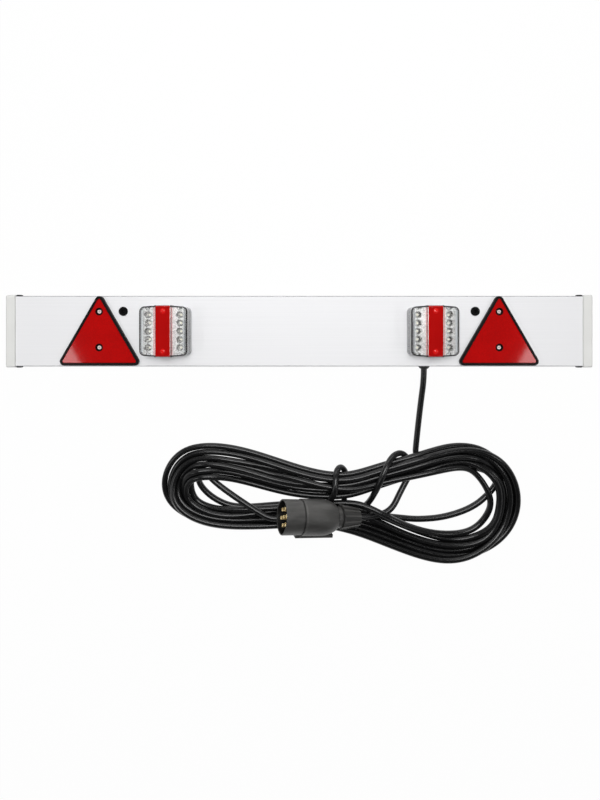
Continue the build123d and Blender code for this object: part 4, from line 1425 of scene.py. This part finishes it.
@dataclass
class Studio:
    """White floor, soft lamps, surroundings and the camera."""

    eye_height: float = 0.8861  # height of the camera over the floor
    lens: float = 18.58  # focal length for a sensor of 36 mm along the longer side
    shift: Pair = (0.00094, -0.086)  # shift of the picture, as shares of its longer side
    ambient: float = 0.23  # light from all round
    horizon: float = 0.4  # what a glossy surface sees at eye level
    ceiling: float = 0.04  # what a glossy surface sees overhead
    floor_white: float = 0.97  # share of plain white in the floor that the camera sees; the rest keeps a soft shadow
    darkening: Pair = (0.2, 0.7)  # rises of sight between which the surroundings darken
    # Name, place, aim, sides, power in watts, and turn about its own axis in radians of each lamp
    lights: Tuple[Tuple[str, Point, Point, Pair, float, float], ...] = (
        ("overhead_softbox", (0.0, 0.4, 1.6), (0.0, -0.1, 0.0), (1.2, 0.7), 17.0, 0.0),
        ("rear_strip", (0.0, 1.1, 0.55), (0.0, -0.4, 0.03), (1.8, 0.3), 4.4, 0.0),
        ("end_softbox_left", (-1.24, -0.27, 1.2), (-1.24, -0.27, 0.0), (0.4, 0.5), 2.8, 0.49),
        ("end_softbox_right", (1.24, -0.27, 1.2), (1.24, -0.27, 0.0), (0.4, 0.5), 2.8, -0.49),
    )

    @staticmethod
    def seen_directly(web: Web) -> Socket:
        """1 for what the camera sees itself, in a reflection or through glass."""
        path = web.add("LightPath").outputs
        return web.most(*(path[f"Is {kind} Ray"] for kind in ("Glossy", "Transmission", "Camera")))

    def floor(self) -> None:
        """White floor that keeps a soft shadow: a flat grid just below the model."""
        half, count, height = 6.0, 9, -0.0004
        x, y = np.meshgrid(np.linspace(-half, half, count), np.linspace(-half, half, count), indexing="ij")
        start = np.arange(count - 1)[:, None] * count + np.arange(count - 1)
        quads = start[..., None] + np.array([0, count, count + 1, 1])
        mesh = mesh_of("studio_floor", np.stack([x, y, np.full_like(x, height)], axis=-1), quads)
        material, web, shader = blank("studio_white")
        web.fill(shader, {"Base Color": (0.9, 0.9, 0.9), "Roughness": 0.9, "Specular IOR Level": 0.0})
        web.surface(web.times(self.seen_directly(web), self.floor_white), shader, web.add("Emission", WHITE, 1.0))
        mesh.materials.append(material)
        link("studio_floor", mesh)

    def surroundings(self) -> None:
        """Surroundings: white to the camera, grey to dark overhead in reflections, and an even light for the rest."""
        world = bpy.data.worlds.new("studio_world")
        world.use_nodes = True
        bpy.context.scene.world = world
        web = Web(world.node_tree)
        even = web.fill(world.node_tree.nodes["Background"], {"Color": WHITE, "Strength": self.ambient})
        up = web.split(web.add("TexCoord").outputs["Generated"])[2]
        overhead = web.step(up, *self.darkening, self.horizon, self.ceiling)
        straight = web.add("LightPath").outputs["Is Camera Ray"]
        seen = web.add("Background", WHITE, web.math("MAXIMUM", overhead, straight))
        web.surface(self.seen_directly(web), even, seen)

    def lamps(self) -> None:
        """Soft lamp overhead, a low strip behind the board and a small lamp beyond each end."""
        for name, place, aim, sides, power, spin in self.lights:
            light = bpy.data.lights.new(name, "AREA")
            light.shape = "RECTANGLE"
            light.size, light.size_y = sides
            light.energy = power
            holder = link(name, light)
            holder.location = place
            holder.rotation_euler = (Vector(aim) - Vector(place)).to_track_quat("-Z", "Y").to_euler()
            holder.rotation_euler.rotate_axis("Z", spin)

    def camera(self) -> None:
        """Camera straight above the middle of the board."""
        data = bpy.data.cameras.new("catalogue_camera")
        data.sensor_width = 36.0
        data.sensor_fit = "AUTO"
        data.lens = self.lens
        data.shift_x, data.shift_y = self.shift
        data.clip_start = 0.01
        camera = link("catalogue_camera", data)
        camera.location = (0.0, 0.0, self.eye_height)
        bpy.context.scene.camera = camera

    def build(self) -> None:
        """Set up the whole studio."""
        bpy.context.scene.view_settings.view_transform = "Standard"
        self.floor()
        self.surroundings()
        self.lamps()
        self.camera()
        log.info("studio: ready")


def main() -> None:
    """Build the scene piece by piece."""
    logging.basicConfig(level=logging.INFO, format="%(message)s")
    Studio().build()
    Board().build()
    for kind in (BoardEnd, Lamp):
        for side in Side:
            kind(side=side).build()
    plug = Plug()
    plug.build()
    WoundCable(plug).build()


if __name__ == "__main__":
    main()
